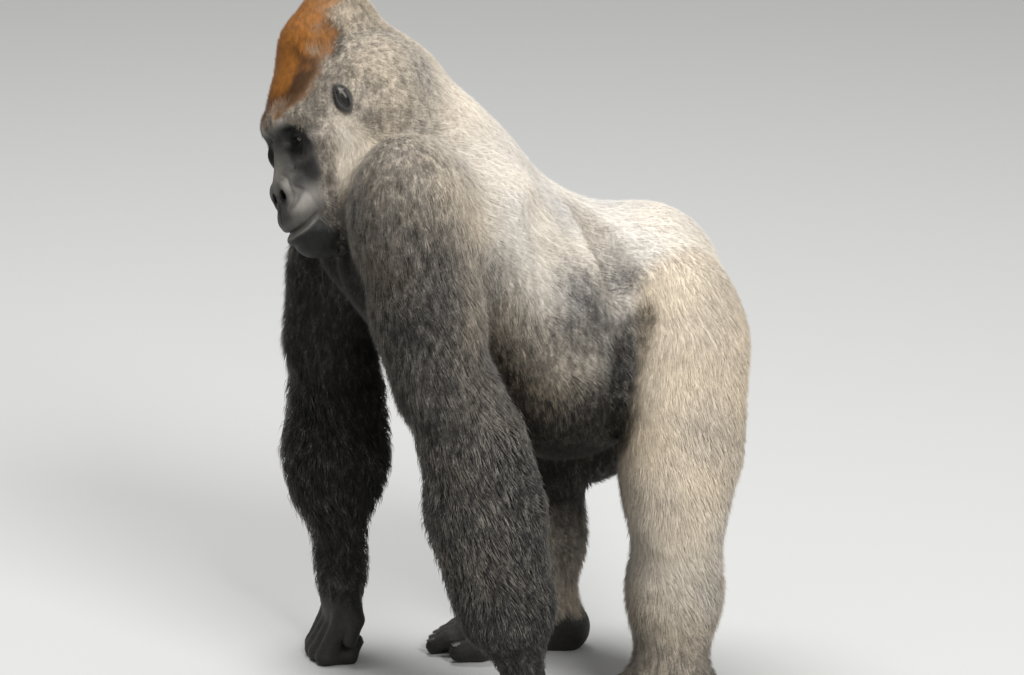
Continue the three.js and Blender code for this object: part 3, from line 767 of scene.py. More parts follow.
def coat_of(p):
    """All that the coat does at each place: a dictionary of arrays."""
    d = parts(p)
    found = cover(p, d)
    h, under, arm_at, leg_at = (found[key] for key in ("head", "under", "arm_at", "leg_at"))
    x, y = p[:, 0], p[:, 1]
    found["length"] = joined(
        found,
        ramp(under, (0, 14), (150, 16), (300, 20), (420, 26)),
        ramp(arm_at, (-0.4, 15), (0, 17), (0.4, 22), (1, 28), (1.6, 30), (1.9, 22), (2.2, 10)),
        ramp(leg_at, (-0.4, 15), (0.4, 17), (1, 22), (1.7, 22), (2, 14), (2.3, 8)),
        ramp(h[:, 2], (-180, 22), (-60, 19), (20, 14), (80, 12), (180, 12)),
    ) * mix(1, 0.5, found["near_face"])

    # which way it lies
    arm_lie = down_limb(p, ARM_JOINTS, arm_at, 0.12)
    leg_lie = down_limb(p, LEG_JOINTS, leg_at, 0.35)
    side = np.sign(y) * smooth(0, 60, np.abs(y))
    down = smooth(20, 260, under)
    trunk_lie = np.stack([mix(1.0, 0.55, down), 0.35 * side * (1 - down), mix(-0.15, -0.85, down)], 1)
    front = smooth(-150, -260, x) * smooth(60, 200, under)
    trunk_lie = mix(trunk_lie, arr(0.25, 0, -1), front[:, None])
    top = smooth(10, 90, h[:, 2])[:, None]
    head_lie = mix(arr(0.42, 0, -0.9), -HEAD_AXES[0] * 0.9 + HEAD_AXES[2] * 0.35, top)
    head_lie = mix(head_lie, arr(0.75, 0, -0.66), smooth(-60, -150, h[:, 0])[:, None])
    shares = {key: found[key][:, None] for key in ("is_head", "is_arm", "is_leg")}
    lie = joined(shares, trunk_lie, arm_lie, leg_lie, head_lie)
    bend = np.stack([w(p) for w in swirl], 1) * 0.22 + np.stack([w(p) for w in ruffle], 1) * 0.10
    found["lie"] = unit(lie) + bend

    patches = patchy(p)
    found["tone"] = tone_of(p, found, patches)
    warm = joined(
        found,
        mix(ramp(x, (-240, 0.6), (-60, 0.30), (120, 0.2), (300, 0.5)), 0.9, smooth(180, 380, under)),
        ramp(arm_at, (-0.4, 0.6), (0.5, 0.4), (1.2, 0.25), (2, 0.2)),
        ramp(leg_at, (-0.4, 0.6), (0.6, 0.75), (1.3, 0.5), (2, 0.5)),
        ramp(h[:, 2], (-150, 0.4), (20, 0.5), (100, 0.8), (180, 1)),
    )
    found["warm"] = np.clip(warm + 0.1 * patches, 0, 1)
    found["rufous"], found["tan_dark"] = crown_of(h, found["rough"], patches)
    found["leather"] = leather_and_painted_light_of(h)
    return found


# ---- Markings ----
parting = together([  # the dark line between the rufous crown and the grey side of the head
    (cone((-38, 54, 160), (-24, 64, 122), 3, 8), 3),
    (cone((-24, 64, 122), (-18, 72, 84), 8, 3), 3),
])
crown_dark = together([  # a dark patch on each side of the rufous crown
    (cone((24, 30, 139), (26, 44, 122), 5, 9), 4),
    (cone((26, 44, 122), (32, 62, 92), 9, 12), 4),
])


def tone_of(p, found, patches):
    """How pale the coat is, from 0, charcoal, to 1, silver, with painted shade and light in places."""
    x, y, z = p.T
    h, under, arm_at, leg_at, rough = (found[key] for key in ("head", "under", "arm_at", "leg_at", "rough"))

    # the trunk: silver over the back, charcoal at the chest, and darker down the ribs, partly the belly's
    # dark hair and partly painted shade under the body
    trunk_tone = ramp(x + 14 * patches, (-330, 0.50), (-280, 0.56), (-240, 0.62), (-200, 0.67),
                      (-150, 0.80), (-90, 0.90), (-20, 0.91), (120, 0.90))
    lower = under - 66 * smooth(50, -50, x) + 8 * rough
    ribs = smooth(-50, -10, x) * smooth(95, 45, x)
    flank_tone = ramp(lower, (60, 1), (100, 0.86), (130, 0.74), (170, 0.58), (210, 0.50),
                      (250, 0.40), (290, 0.25), (330, 0.13))
    # a painted shadow band in the groove under the arm, and a painted light band on the belly's bulge below
    # it
    flank_tone = flank_tone * (1 + (0.30 * hump(lower, 236, 28) - 0.26 * hump(lower, 152, 24)) * ribs)
    hip_tone = ramp(under, (60, 1), (150, 0.86), (300, 0.78))
    trunk_tone = trunk_tone * mix(flank_tone, hip_tone, smooth(110, 180, x))
    saddle = np.hypot((x - 26) / 74, (under - 96) / 58)
    trunk_tone = trunk_tone * mix(1, 0.78, smooth(1.15, 0.1, saddle + 0.15 * patches))
    trunk_tone = mix(trunk_tone, 0.02, smooth(-170, -230, x) * smooth(860, 800, z))

    # the arms: grey, paler behind, and with painted shade on their inner sides
    arm_tone = ramp(arm_at, (-0.4, 0.62), (-0.1, 0.50), (0.15, 0.40), (0.45, 0.31), (1, 0.30),
                    (1.6, 0.28), (2.2, 0.14))
    rear = smooth(-10, 70, x - ramp(arm_at, (0, -235), (1, -200), (2, -100)))
    inner = smooth(10, -45, np.abs(y) - ramp(arm_at, (0, 200), (1, 272), (2, 240)))
    arm_tone = arm_tone + 0.24 * rear * smooth(1.3, 0.2, arm_at)
    # painted shade on the inner side, which the far arm turns to the camera
    arm_tone = mix(arm_tone, 0.08, inner * smooth(-0.1, 0.5, arm_at))

    # the legs: silver, darker in front, except at the knee, and with deep painted shade on their inner
    # sides
    leg_tone = ramp(leg_at, (-0.4, 0.80), (0.5, 0.83), (0.9, 0.78), (1.25, 0.84), (1.6, 0.72), (2.1, 0.46))
    front = smooth(20, -60, x - ramp(leg_at, (0, 170), (1, 120), (2, 130)))
    knee = smooth(0.9, 1.1, leg_at) * smooth(1.5, 1.3, leg_at)
    # painted shade on the inner side, darkest on the far thigh
    inner = smooth(10, -40, np.abs(y) - ramp(leg_at, (0, 118), (1, 200), (2, 186)))
    inner_shade_tone = ramp(leg_at, (0.6, 0.14), (1.2, 0.12), (1.5, 0.42), (1.9, 0.6))
    leg_tone = mix(leg_tone - 0.14 * front * mix(1, 0.3, knee), inner_shade_tone, inner)

    # the head: grey, with a pale cheek that leans forward as it goes down, which is partly pale hair and
    # partly painted light, and a painted shadow under the chin
    head_tone = ramp(h[:, 0], (-150, 0.74), (-90, 0.60), (-30, 0.46))
    # a little paler lower down, then a painted shadow under the chin and on the throat
    head_tone = head_tone + 0.06 * smooth(20, -60, h[:, 2]) - 0.10 * smooth(-80, -130, h[:, 2])
    head_tone = head_tone - 0.26 * smooth(-125, -165, h[:, 2])
    # the pale cheek, partly its paler hair and partly painted light
    below = h[:, 2] + 26
    cheek = np.hypot((h[:, 0] - 14 + 0.5 * np.minimum(below, 0)) / 64, below / 104)
    head_tone = head_tone + 0.50 * smooth(1, 0.35, cheek)

    tone = joined(found, trunk_tone, arm_tone, leg_tone, head_tone) + 0.03 * patches + 0.02 * rough
    # painted shade in the folds before the thighs and between the buttocks, and in the hollows behind the
    # ribs
    tone = tone * mix(1, 0.32, smooth(28, -4, folds(p))) * mix(1, 0.66, smooth(20, -4, rib_hollows(p)))
    return np.clip(tone * mix(1, 0.56, smooth(15, -1, parting(mirrored(h)) + 6 * rough)), 0, 1)


def crown_of(h, rough, patches):
    """How rufous the top of the head is, and how dark its rufous is."""
    ahead, side, up = mirrored(h).T
    hairline = ramp(side, (0, 54), (30, 58), (54, 60), (66, 70), (90, 84))
    wide = ramp(ahead, (-80, 38), (-46, 46), (-21, 56), (1, 59), (13, 64), (31, 70), (60, 76))
    wide = wide + 24 * smooth(158, 176, up) * smooth(-40, -60, ahead)
    crown = smooth(-9, 15, up - hairline - 3 + 9 * rough) * smooth(13, -13, side - wide + 9 * rough)
    crown = crown * smooth(-118, -78, ahead + 10 * patches + 5 * rough)
    dark = smooth(124, 96, up + 10 * patches) * smooth(26, 50, side + 6 * rough)
    dark = dark + smooth(30, 12, up - hairline + 4 * rough)
    dark = dark + smooth(10, -4, crown_dark(mirrored(h)) + 5 * rough)
    rufous = crown * mix(1, 0.62, smooth(-30, -80, ahead))
    return rufous, np.clip(dark * (0.85 + 0.6 * rough), 0, 1) * crown


LEATHER_DARKEST = 0.03
# painted highlights where the bare face is paler, on muzzle, nose, brow, under the eye and upper lip, and
# painted shade where it is darker, in the eye sockets, the nostrils and on the chin
FACE_LIGHT_AND_SHADE_SPOTS = (  # how much paler, where in the head's axes, and how far it reaches
    (0.50, (124, 37, -80), (40, 16, 17)),  # side of the muzzle
    (0.32, (124, 0, -30), (40, 15, 34)),  # top of the nose
    (0.60, (100, 30, 52), (40, 48, 11)),  # brow
    (0.06, (98, 44, -22), (40, 20, 6)),  # under the eye
    (0.40, (134, 24, -50), (24, 10, 14)),  # nose wing
    (0.20, (130, 10, -104), (30, 30, 10)),  # upper lip
    (-0.20, (90, 40, 10), (30, 26, 15)),  # eye socket
    (-0.10, (110, 10, -150), (60, 50, 26)),  # chin
    (-0.34, (142, 15, -58), (16, 9, 10)),  # nostril
)


def leather_and_painted_light_of(h):
    """How pale the bare skin is, with painted light and shade: painted shade makes the eye sockets nearly
    black, and painted highlights make the nose and muzzle grey.
    """
    q = mirrored(h)
    forward, side, up = q.T
    pale = np.full(len(q), LEATHER_DARKEST)
    for paler, place, size in FACE_LIGHT_AND_SHADE_SPOTS:
        w = (q - arr(place)) / arr(size)
        pale = pale + paler * np.exp(-dots(w, w))
    # painted shade in the groove round the nose wing, and a painted highlight along the lower lip
    wing = np.hypot(side - 20, 0.8 * (up + 58))
    groove = hump(wing, 20.5, 2.5) * smooth(24, 32, side) * smooth(-34, -46, up) * smooth(96, 108, forward)
    lower_lip = ramp(side, (0, -123), (32, -119.5), (49, -112))
    lip_highlight = hump(up, lower_lip, 3.5) * smooth(49, 41, side) * smooth(84, 96, forward)
    pale = pale * (1 - 0.45 * groove) + 0.28 * lip_highlight

    # on the ears, a painted highlight along the inner fold and a faint painted highlight on the rim
    ahead, out, high = ear_places(q, 1).T
    fold_highlight = smooth(3, 1, np.abs(np.hypot(ahead + 1, (high - 3) * 0.36) - 5)) * smooth(-4, 4, high)
    rim = smooth(0.82, 0.95, np.hypot(ahead / 11, (high - 1) / 23)) * smooth(-6, 2, out)
    ear = 0.34 * fold_highlight * smooth(2, -1, ahead) + 0.05 * rim
    in_ear = smooth(48, 36, np.sqrt(ahead**2 + out**2 + high**2))
    return np.clip(mix(pale, ear, in_ear), 0, 1)


# ---- Skin ----
SKIN_NODES = [
    "head", "neck", "chest", "belly", "pelvis",
    *(f"{part}_{side}" for side in SIDES for part in
      ("ear", "upper_arm", "forearm", "hand", "thigh", "shank", "foot")),
]
SKIN_GRID = (
    planes((-480, -190, 4.8), (-190, -30, 7), (-30, 400, 10)),
    planes((-380, 380, 5.8)),
    planes((-6, 150, 5), (150, 760, 11), (760, 1170, 4.8)),
)


HEAD_MIDDLE, HEAD_REACH = (40, 0, -20), 230
BAND = 42  # mm from the surface within which the grid's values are true
REFINED = (  # least forward, most to a side, lowest, highest; reach round the ears; most that points move
    (50, 84, -180, 66, 42, 2),
    (76, 54, -134, 30, 32, 1.2),
)


def skin_field(p):
    """The skin under the coat: the outer surface less the coat's depth, with face and ears."""
    d = parts(p)
    h = to_head(p)
    near_head = np.linalg.norm(h - arr(HEAD_MIDDLE), axis=1) < HEAD_REACH
    d["head"] = np.array(d["head"])
    d["head"][near_head] = skull_field(h[near_head])
    f = folded(p, d) + cover(p, d)["depth"]
    f[near_head] = blend(f[near_head], ear_field(h[near_head]), 6)
    return np.maximum(f, -p[:, 2])


def refine(points, quads, tris, chosen):
    """Splits the chosen quads in four, and fans out their neighbours so that no gap opens."""
    ends = np.sort(np.stack([quads, np.roll(quads, -1, 1)], 2), 2).astype(np.int64)
    keys = ends[..., 0] * len(points) + ends[..., 1]
    cut_keys = np.unique(keys[chosen])
    middles = (points[cut_keys // len(points)] + points[cut_keys % len(points)]) / 2
    mid = len(points) + np.searchsorted(cut_keys, keys[chosen])
    centre = len(points) + len(cut_keys) + np.arange(chosen.sum())
    inner = quads[chosen]
    small = [np.stack([inner[:, i], mid[:, i], centre, mid[:, i - 1]], 1) for i in range(4)]
    cut_edges = np.isin(keys, cut_keys)
    border = ~chosen & cut_edges.any(1)
    fans = []
    for quad, cuts, key in zip(quads[border], cut_edges[border], keys[border]):
        outline = []
        for i in range(4):
            outline.append(quad[i])
            if cuts[i]:
                outline.append(len(points) + np.searchsorted(cut_keys, key[i]))
        start = next(i for i in range(4) if cuts[i]) + 1  # the first cut point is the fan's root
        start = outline.index(len(points) + np.searchsorted(cut_keys, key[start - 1]))
        turned = outline[start:] + outline[:start]
        fans += [(turned[0], turned[i], turned[i + 1]) for i in range(1, len(turned) - 1)]
    points = np.concatenate([points, middles, points[inner].mean(1)])
    quads = np.concatenate([quads[~chosen & ~border], *small])
    return points, quads, np.concatenate([tris, arr(fans).reshape(-1, 3).astype(int)])


def make_skin():
    """A net over the body, finer over the face and ears, and finest round eyes, nose and mouth."""
    points, quads = surface_net(grid_values(skin_field, SKIN_GRID, BAND), SKIN_GRID)
    points = settle(skin_field, points, 3)
    tris = np.zeros((0, 3), int)
    for forward, wide, low, high, ear, limit in REFINED:
        h = mirrored(to_head(points[quads].mean(1)))
        chosen = (h[:, 0] > forward) & (h[:, 1] < wide) & (h[:, 2] > low) & (h[:, 2] < high)
        chosen |= np.linalg.norm(h - arr(EAR_AT), axis=1) < ear
        old = len(points)
        points, quads, tris = refine(points, quads, tris, chosen)
        points[old:] = settle(skin_field, points[old:], limit)
    return points, quads, tris


def placed(name, data):
    made = bpy.data.objects.new(name, data)
    bpy.context.scene.collection.objects.link(made)
    return made


def mesh_from(name, points, quads, tris):
    """A new object with these points, in mm, and these quads and triangles."""
    mesh = bpy.data.meshes.new(name)
    corners = np.concatenate([quads.ravel(), tris.ravel()]).astype(np.int32)
    starts = np.concatenate([np.arange(len(quads)) * 4, quads.size + np.arange(len(tris)) * 3])
    mesh.vertices.add(len(points))
    mesh.loops.add(len(corners))
    mesh.polygons.add(len(starts))
    mesh.vertices.foreach_set("co", to_frame(points).astype(np.float32).ravel())
    mesh.loops.foreach_set("vertex_index", corners)
    mesh.polygons.foreach_set("loop_start", starts.astype(np.int32))
    mesh.polygons.foreach_set("use_smooth", np.ones(len(starts), bool))
    mesh.update(calc_edges=True)
    return placed(name, mesh)


def give(mesh, name, values):
    """Stores one number for each vertex, for the materials to read."""
    attribute = mesh.attributes.new(name, "FLOAT", "POINT")
    attribute.data.foreach_set("value", np.asarray(values, np.float32))


# ---- Materials ----
def material_with(name):
    material = bpy.data.materials.new(name)
    material.use_nodes = True
    tree = material.node_tree
    return material, tree, tree.nodes["Principled BSDF"]


def set_inputs(tree, made, inputs):
    """Gives a node's sockets numbers, colours or other nodes' outputs."""
    for key, value in inputs.items():
        socket = made.inputs[key]
        if isinstance(value, bpy.types.NodeSocket):
            tree.links.new(value, socket)
        else:
            socket.default_value = (*value, 1) if socket.type == "RGBA" else value


def node(tree, kind, inputs, **settings):
    made = tree.nodes.new("ShaderNode" + kind)
    for key, value in settings.items():
        setattr(made, key, value)
    set_inputs(tree, made, inputs)
    return made


def attribute(tree, name):
    return node(tree, "Attribute", {}, attribute_name=name).outputs["Fac"]


def add(tree, a, b, times=1.0):
    """a + b * times."""
    return node(tree, "Math", {0: b, 1: times, 2: a}, operation="MULTIPLY_ADD").outputs[0]


def mixed(tree, factor, a, b, blend_type="MIX"):
    made = node(tree, "Mix", {}, data_type="RGBA", blend_type=blend_type)
    set_inputs(tree, made, {0: factor, 6: a, 7: b})
    return made.outputs[2]


def noise(tree, scale, detail=2.0, rough=0.5, stretch=None):
    """Noise over the object's own places, scale in waves to the metre."""
    place = node(tree, "TexCoord", {}).outputs["Object"]
    if stretch:
        place = node(tree, "Mapping", {"Vector": place, "Scale": stretch}).outputs["Vector"]
    inputs = {"Vector": place, "Scale": scale, "Detail": detail, "Roughness": rough}
    return node(tree, "TexNoise", inputs).outputs["Fac"]


def swing(tree, amount, *pattern):
    """Noise about zero, from -amount / 2 to amount / 2."""
    return add(tree, -amount / 2, noise(tree, *pattern), amount)


def colour_ramp(tree, value, stops):
    """The colour at a value, between the (value, colour) stops."""
    made = node(tree, "ValToRGB", {"Fac": value})
    elements = made.color_ramp.elements
    for i in (0, -1):
        elements[i].position, elements[i].color = stops[i][0], (*stops[i][1], 1)
    for at, colour in stops[1:-1]:
        elements.new(at).color = (*colour, 1)
    return made.outputs["Color"]


def linear(srgb):
    """A colour as it looks on a screen, as the shader wants it."""
    return tuple(c / 12.92 if c <= 0.04045 else ((c + 0.055) / 1.055) ** 2.4 for c in srgb)


TONES = [(at, linear(colour)) for at, colour in (  # from charcoal to silver
    (0.00, (0.07, 0.068, 0.065)),
    (0.25, (0.23, 0.225, 0.22)),
    (0.50, (0.46, 0.45, 0.435)),
    (0.75, (0.73, 0.715, 0.69)),
    (1.00, (0.91, 0.90, 0.88)),
)]
WARMTH = (1.18, 1.0, 0.76)  # what cream does to each channel
RUFOUS = linear((0.71, 0.45, 0.16))
RUFOUS_DARK = linear((0.27, 0.17, 0.07))
LEATHER_DARK = linear((0.05, 0.048, 0.045))
# the palest bare skin, also the colour of the face's painted highlights
LEATHER_PALE = linear((0.74, 0.715, 0.68))
NAIL_DARK = linear((0.10, 0.095, 0.09))
NAIL_PALE = linear((0.27, 0.25, 0.23))


def coat_colour(tree, tufts):
    """The markings, the same for skin and coat, and each tuft's own shade where tufts is true."""
    tone = attribute(tree, "tone")
    mottle = add(tree, swing(tree, 1.0, 260, 3, 0.6), swing(tree, 2.1, 105, 3, 0.7, (1, 1, 0.4)))
    tone = add(tree, tone, mottle, add(tree, 0.66, tone, -0.60))  # more where it is dark
    if tufts:
        tone = add(tree, tone, add(tree, -0.5, attribute(tree, "strand")), 0.18)
        tone = add(tree, tone, add(tree, -0.6, attribute(tree, "along")), 0.10)
    else:
        tone = add(tree, tone, -0.02)
    grey = colour_ramp(tree, tone, TONES)
    coat = mixed(tree, attribute(tree, "warm"), grey, mixed(tree, 1.0, grey, WARMTH, "MULTIPLY"))
    rufous = mixed(tree, noise(tree, 90, 3, 0.6), RUFOUS, RUFOUS_DARK)
    rufous = mixed(tree, attribute(tree, "tan_dark"), rufous, RUFOUS_DARK)
    return mixed(tree, attribute(tree, "rufous"), coat, rufous)


def skin_material():
    """Leather with blotches, grain, fine creases and the face's painted highlights and shade, and the
    coat's colours where the coat grows.
    """
    material, tree, shader = material_with("skin")
    leather = attribute(tree, "leather")
    mottle = add(tree, swing(tree, 0.2, 70, 4, 0.6), swing(tree, 0.24, 420, 3, 0.7))
    pale = add(tree, leather, mottle, add(tree, 0.25, leather, 1.4))
    bare = mixed(tree, pale, LEATHER_DARK, LEATHER_PALE)
    relief = add(tree, noise(tree, 150, 5, 0.7, (1, 1, 0.45)), noise(tree, 900, 2, 0.5), 0.35)
    bump = node(tree, "Bump", {"Height": relief, "Strength": 0.6, "Distance": 0.0018})
    set_inputs(tree, shader, {
        "Base Color": mixed(tree, attribute(tree, "bare"), coat_colour(tree, False), bare),
        "Normal": bump.outputs["Normal"],
        "Roughness": 0.54,
        "Specular IOR Level": 0.26,
    })
    return material


def coat_material():
    material, tree, shader = material_with("coat")
    set_inputs(tree, shader, {
        "Base Color": coat_colour(tree, True),
        "Roughness": 0.62,
        "Specular IOR Level": 0.22,
        "Sheen Weight": 0.06,
        "Sheen Roughness": 0.5,
    })
    return material


# ---- Coat ----
def triangles_of(quads, tris):
    return np.concatenate([quads[:, [0, 1, 2]], quads[:, [0, 2, 3]], tris])


def corner_normals(points, triangles):
    a, b, c = (points[triangles[:, i]] for i in range(3))
    face = np.cross(b - a, c - a)
    normal = np.zeros_like(points)
    for i in range(3):
        for axis in range(3):
            normal[:, axis] += np.bincount(triangles[:, i], face[:, axis], len(points))
    return unit(normal), np.linalg.norm(face, axis=1) / 2


def unwrapped(points, triangles):
    """Places on an unwrap of these triangles' own shape, three for each triangle."""
    mesh = bpy.data.meshes.new("unwrap")
    mesh.from_pydata(points.tolist(), [], triangles.tolist())
    mesh.uv_layers.new(name="unwrap")
    made = placed("unwrap", mesh)
    bpy.context.view_layer.objects.active = made
    made.select_set(True)
    bpy.ops.object.mode_set(mode="EDIT")
    bpy.ops.mesh.select_all(action="SELECT")
    bpy.ops.uv.smart_project(angle_limit=1.15, island_margin=0.002, scale_to_bounds=True)
    bpy.ops.object.mode_set(mode="OBJECT")
    found = np.zeros(len(mesh.loops) * 2, np.float32)
    mesh.uv_layers["unwrap"].uv.foreach_get("vector", found)
    bpy.data.objects.remove(made)
    bpy.data.meshes.remove(mesh)
    return found.reshape(-1, 3, 2)


PATCH = 0.0015  # half of a tuft's patch on the unwrap
NEAR_FILL, FAR_FILL = 1.12, 0.88  # more tufts on the side towards the camera, and fewer on the other
LOCK_TUFTS = 16
SUNK = 1.2  # mm that a tuft's root is under the skin
SLENDER, THINNEST, THICKEST = 0.06, 0.6, 1.9  # a tuft's width for its length, and its limits in mm
VARIED = (0.75, 1.2)  # least and most of a tuft's usual length and width
FRAY, GATHERED = 0.14, (0.15, 0.6)  # how far it strays to a side, and how much it follows its lock
SECTION = ((-0.5, 0), (0.5, 0), (0, 0.45))  # a tuft's three corners, across and up, in widths
COAT_MARKS = ("tone", "warm", "rufous", "tan_dark")


def locks_of(root, random):
    """Which tufts lead a lock, and which lock each tuft stands in."""
    seeds = random.choice(len(root), max(len(root) // LOCK_TUFTS, 1), replace=False)
    tree = kdtree.KDTree(len(seeds))
    for i, seed in enumerate(seeds):
        tree.insert(root[seed], i)
    tree.balance()
    return seeds, np.array([tree.find(place)[1] for place in root])


def tuft_faces(rings):
    """The triangles of one tuft: a closed root, walls from ring to ring, and a tip."""
    faces = [(0, 1, 2)]
    last = 3 * (rings - 1)
    for low in range(0, last, 3):
        for i, j in ((0, 1), (1, 2), (2, 0)):
            faces += [(low + i, low + 3 + j, low + j), (low + i, low + 3 + i, low + 3 + j)]
    return np.array(faces + [(last + j, last + i, last + 3) for i, j in ((0, 1), (1, 2), (2, 0))])


def make_coat(name, slot, chosen, per_m2, long_tufts, random):
    """Tufts over the chosen triangles of the skin. Long tufts bend once and short ones are straight."""
    triangles = TRIANGLES[chosen]
    near = POINTS[triangles].mean(1)[:, 1] < 0
    fill = HAIRED[triangles].mean(1) * np.where(near, NEAR_FILL, FAR_FILL)
    count = np.floor(AREAS[chosen] * MM**2 * per_m2 * fill + random.random(len(triangles))).astype(int)
    owner = np.repeat(np.arange(len(triangles)), count)
    n = len(owner)
    a, b = random.random(n), random.random(n)
    over = a + b > 1
    a[over], b[over] = 1 - a[over], 1 - b[over]
    shares = np.stack([1 - a - b, a, b], 1)
    corners = triangles[owner]

    def at_roots(values):
        values = values[corners]
        return (values * (shares[..., None] if values.ndim == 3 else shares)).sum(1)

    root = at_roots(POINTS)
    normal = unit(at_roots(NORMALS))
    lie = at_roots(COAT["lie"])
    lie = unit(lie - normal * dots(lie, normal)[:, None])
    length = at_roots(COAT["length"]) * random.uniform(*VARIED, n)
    depth = at_roots(COAT["depth"])

    # each tuft leans towards the tip of its lock, and rises to its own height in the coat
    seeds, lock = locks_of(root, random)
    leader = seeds[lock]
    fray = np.cross(lie, normal) * random.normal(0, FRAY, n)[:, None]
    tip = root + unit(lie + fray) * length[:, None]
    lock_tip = root[leader] + unit(lie[leader]) * length[leader][:, None]
    tip = mix(tip, lock_tip, random.uniform(*GATHERED, n)[:, None])
    rise = depth * (mix(0.35, 1.0, random.random(n) ** 0.7) + 0.55 * random.random(n) ** 7)
    tip = on_level(tip, normal, rise)
    middle = mix(root, tip, 0.5) + normal * (rise * 0.35)[:, None]

    width = np.clip(length * SLENDER, THINNEST, THICKEST) * random.uniform(*VARIED, n)
    run = unit(tip - root)
    side = unit(np.cross(run, normal))
    ups = unit(np.cross(side, run))
    rings = [(root - normal * SUNK, 1.0, 0.0), (middle, 0.85, 0.5)][:2 if long_tufts else 1]
    points, normals, along, patch = [], [], [], []
    for centre, size, share in rings:
        for across, up in SECTION:
            points.append(centre + (side * across + ups * up) * (width * size)[:, None])
            normals.append(unit(normal * 0.8 + side * across * 0.7 + ups * 0.1))
            along.append(share)
            patch.append((2 * PATCH * across, mix(-PATCH, PATCH, share)))
    points.append(tip)
    normals.append(unit(normal * 0.9 + ups * 0.1))
    along.append(1)
    patch.append((0, PATCH))
    k = len(points)
    faces = (np.arange(n)[:, None, None] * k + tuft_faces(len(rings))).reshape(-1, 3)

    made = mesh_from(name, np.stack(points, 1).reshape(-1, 3), np.zeros((0, 4), int), faces)
    mesh = made.data
    soft = mesh.attributes.new("custom_normal", "FLOAT_VECTOR", "POINT")
    soft.data.foreach_set("vector", np.stack(normals, 1).reshape(-1).astype(np.float32))
    for mark in COAT_MARKS:
        give(mesh, mark, np.repeat(at_roots(COAT[mark]), k))
    give(mesh, "strand", np.repeat(mix(random.random(len(seeds))[lock], random.random(n), 0.55), k))
    give(mesh, "along", np.tile(along, n))
    root_uv = (unwrapped(POINTS, triangles)[owner] * shares[..., None]).sum(1)
    uv = np.clip(root_uv[:, None] + np.array(patch), 0, 1).reshape(-1, 2)
    layer = mesh.uv_layers.new(name="OFBake")
    layer.uv.foreach_set("vector", uv[faces.ravel()].astype(np.float32).ravel())
    mesh.materials.append(COAT_MATERIAL)
    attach(made, "root")


def on_level(p, normal, rise):
    """Moves points along the normals until they lie rise mm over the skin."""
    most = 12  # mm in one round
    for _ in range(2):
        d = parts(p)
        over = folded(p, d) + cover(p, d)["depth"]
        p = p + normal * np.clip(rise - over, -most, most)[:, None]
    return p


POINTS, skin_quads, skin_tris = make_skin()
COAT = coat_of(POINTS)
skin = mesh_from("skin", POINTS, skin_quads, skin_tris)
for mark in (*COAT_MARKS, "bare", "leather"):
    give(skin.data, mark, COAT[mark])
skin.data.materials.append(skin_material())
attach(skin, "root")
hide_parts(*SKIN_NODES)

TRIANGLES = triangles_of(skin_quads, skin_tris)
NORMALS, AREAS = corner_normals(POINTS, TRIANGLES)
HAIRED = 1 - COAT["bare"]
COAT_MATERIAL = coat_material()

x, y = POINTS[TRIANGLES].mean(1)[:, :2].T
mean = {key: COAT[key][TRIANGLES].mean(1) for key in ("is_head", "is_arm", "is_leg", "arm_at", "leg_at")}
on_head = mean["is_head"] > 0.5
on_arm = ~on_head & (mean["is_arm"] > 0.5)
on_leg = ~on_head & ~on_arm & (mean["is_leg"] > 0.5)
on_trunk = ~on_head & ~on_arm & ~on_leg
REGIONS = [  # name, slot, triangles, tufts to the square metre, and whether they bend
    ("head", "coat_head", on_head, 330000, False),
    ("neck", "coat_head", on_trunk & (x < -130), 150000, False),
    ("chest", "coat_grey", on_trunk & (x >= -130) & (x < 0), 145000, False),
    ("belly", "coat_silver", on_trunk & (x >= 0) & (x < 140), 145000, False),
    ("rump", "coat_silver", on_trunk & (x >= 140), 145000, False),
]
for on_limb, at, upper, lower in (
    (on_arm, mean["arm_at"], ("upper_arm", "coat_dark", 150000), ("forearm", "coat_dark", 62000)),
    (on_leg, mean["leg_at"], ("thigh", "coat_silver", 150000), ("shank", "coat_grey", 150000)),
):
    for side, here in (("left", y < 0), ("right", y >= 0)):
        for (limb, slot, per_m2), part in ((upper, at < 1), (lower, at >= 1)):
            REGIONS.append((f"{limb}_{side}", slot, on_limb & here & part, per_m2, limb == "forearm"))
for i, (name, *what) in enumerate(REGIONS):
    make_coat("coat_" + name, *what, np.random.default_rng(SEED + i))


# ---- Eyes ----
GAZE = unit(arr(1, 0.12, -0.12))  # in the head's axes
PUPIL, IRIS = 11, 29  # degrees from the gaze
CORNEA = 0.9  # mm that the eye bulges over the iris


def eye_material():
    material, tree, shader = material_with("eye")
    from_gaze = attribute(tree, "from_gaze")
    set_inputs(tree, shader, {
        "Base Color": colour_ramp(tree, add(tree, 0.0, from_gaze, 1 / 90), [
            ((PUPIL - 1) / 90, (0.003, 0.003, 0.003)),
            ((PUPIL + 1) / 90, (0.03, 0.013, 0.006)),
            ((IRIS - 6) / 90, (0.045, 0.020, 0.010)),
            (IRIS / 90, (0.02, 0.008, 0.004)),
            ((IRIS + 3) / 90, (0.022, 0.014, 0.010)),
        ]),
        "Roughness": 0.08,
        "Coat Weight": 0.5,
        "Coat Roughness": 0.03,
    })
    return material


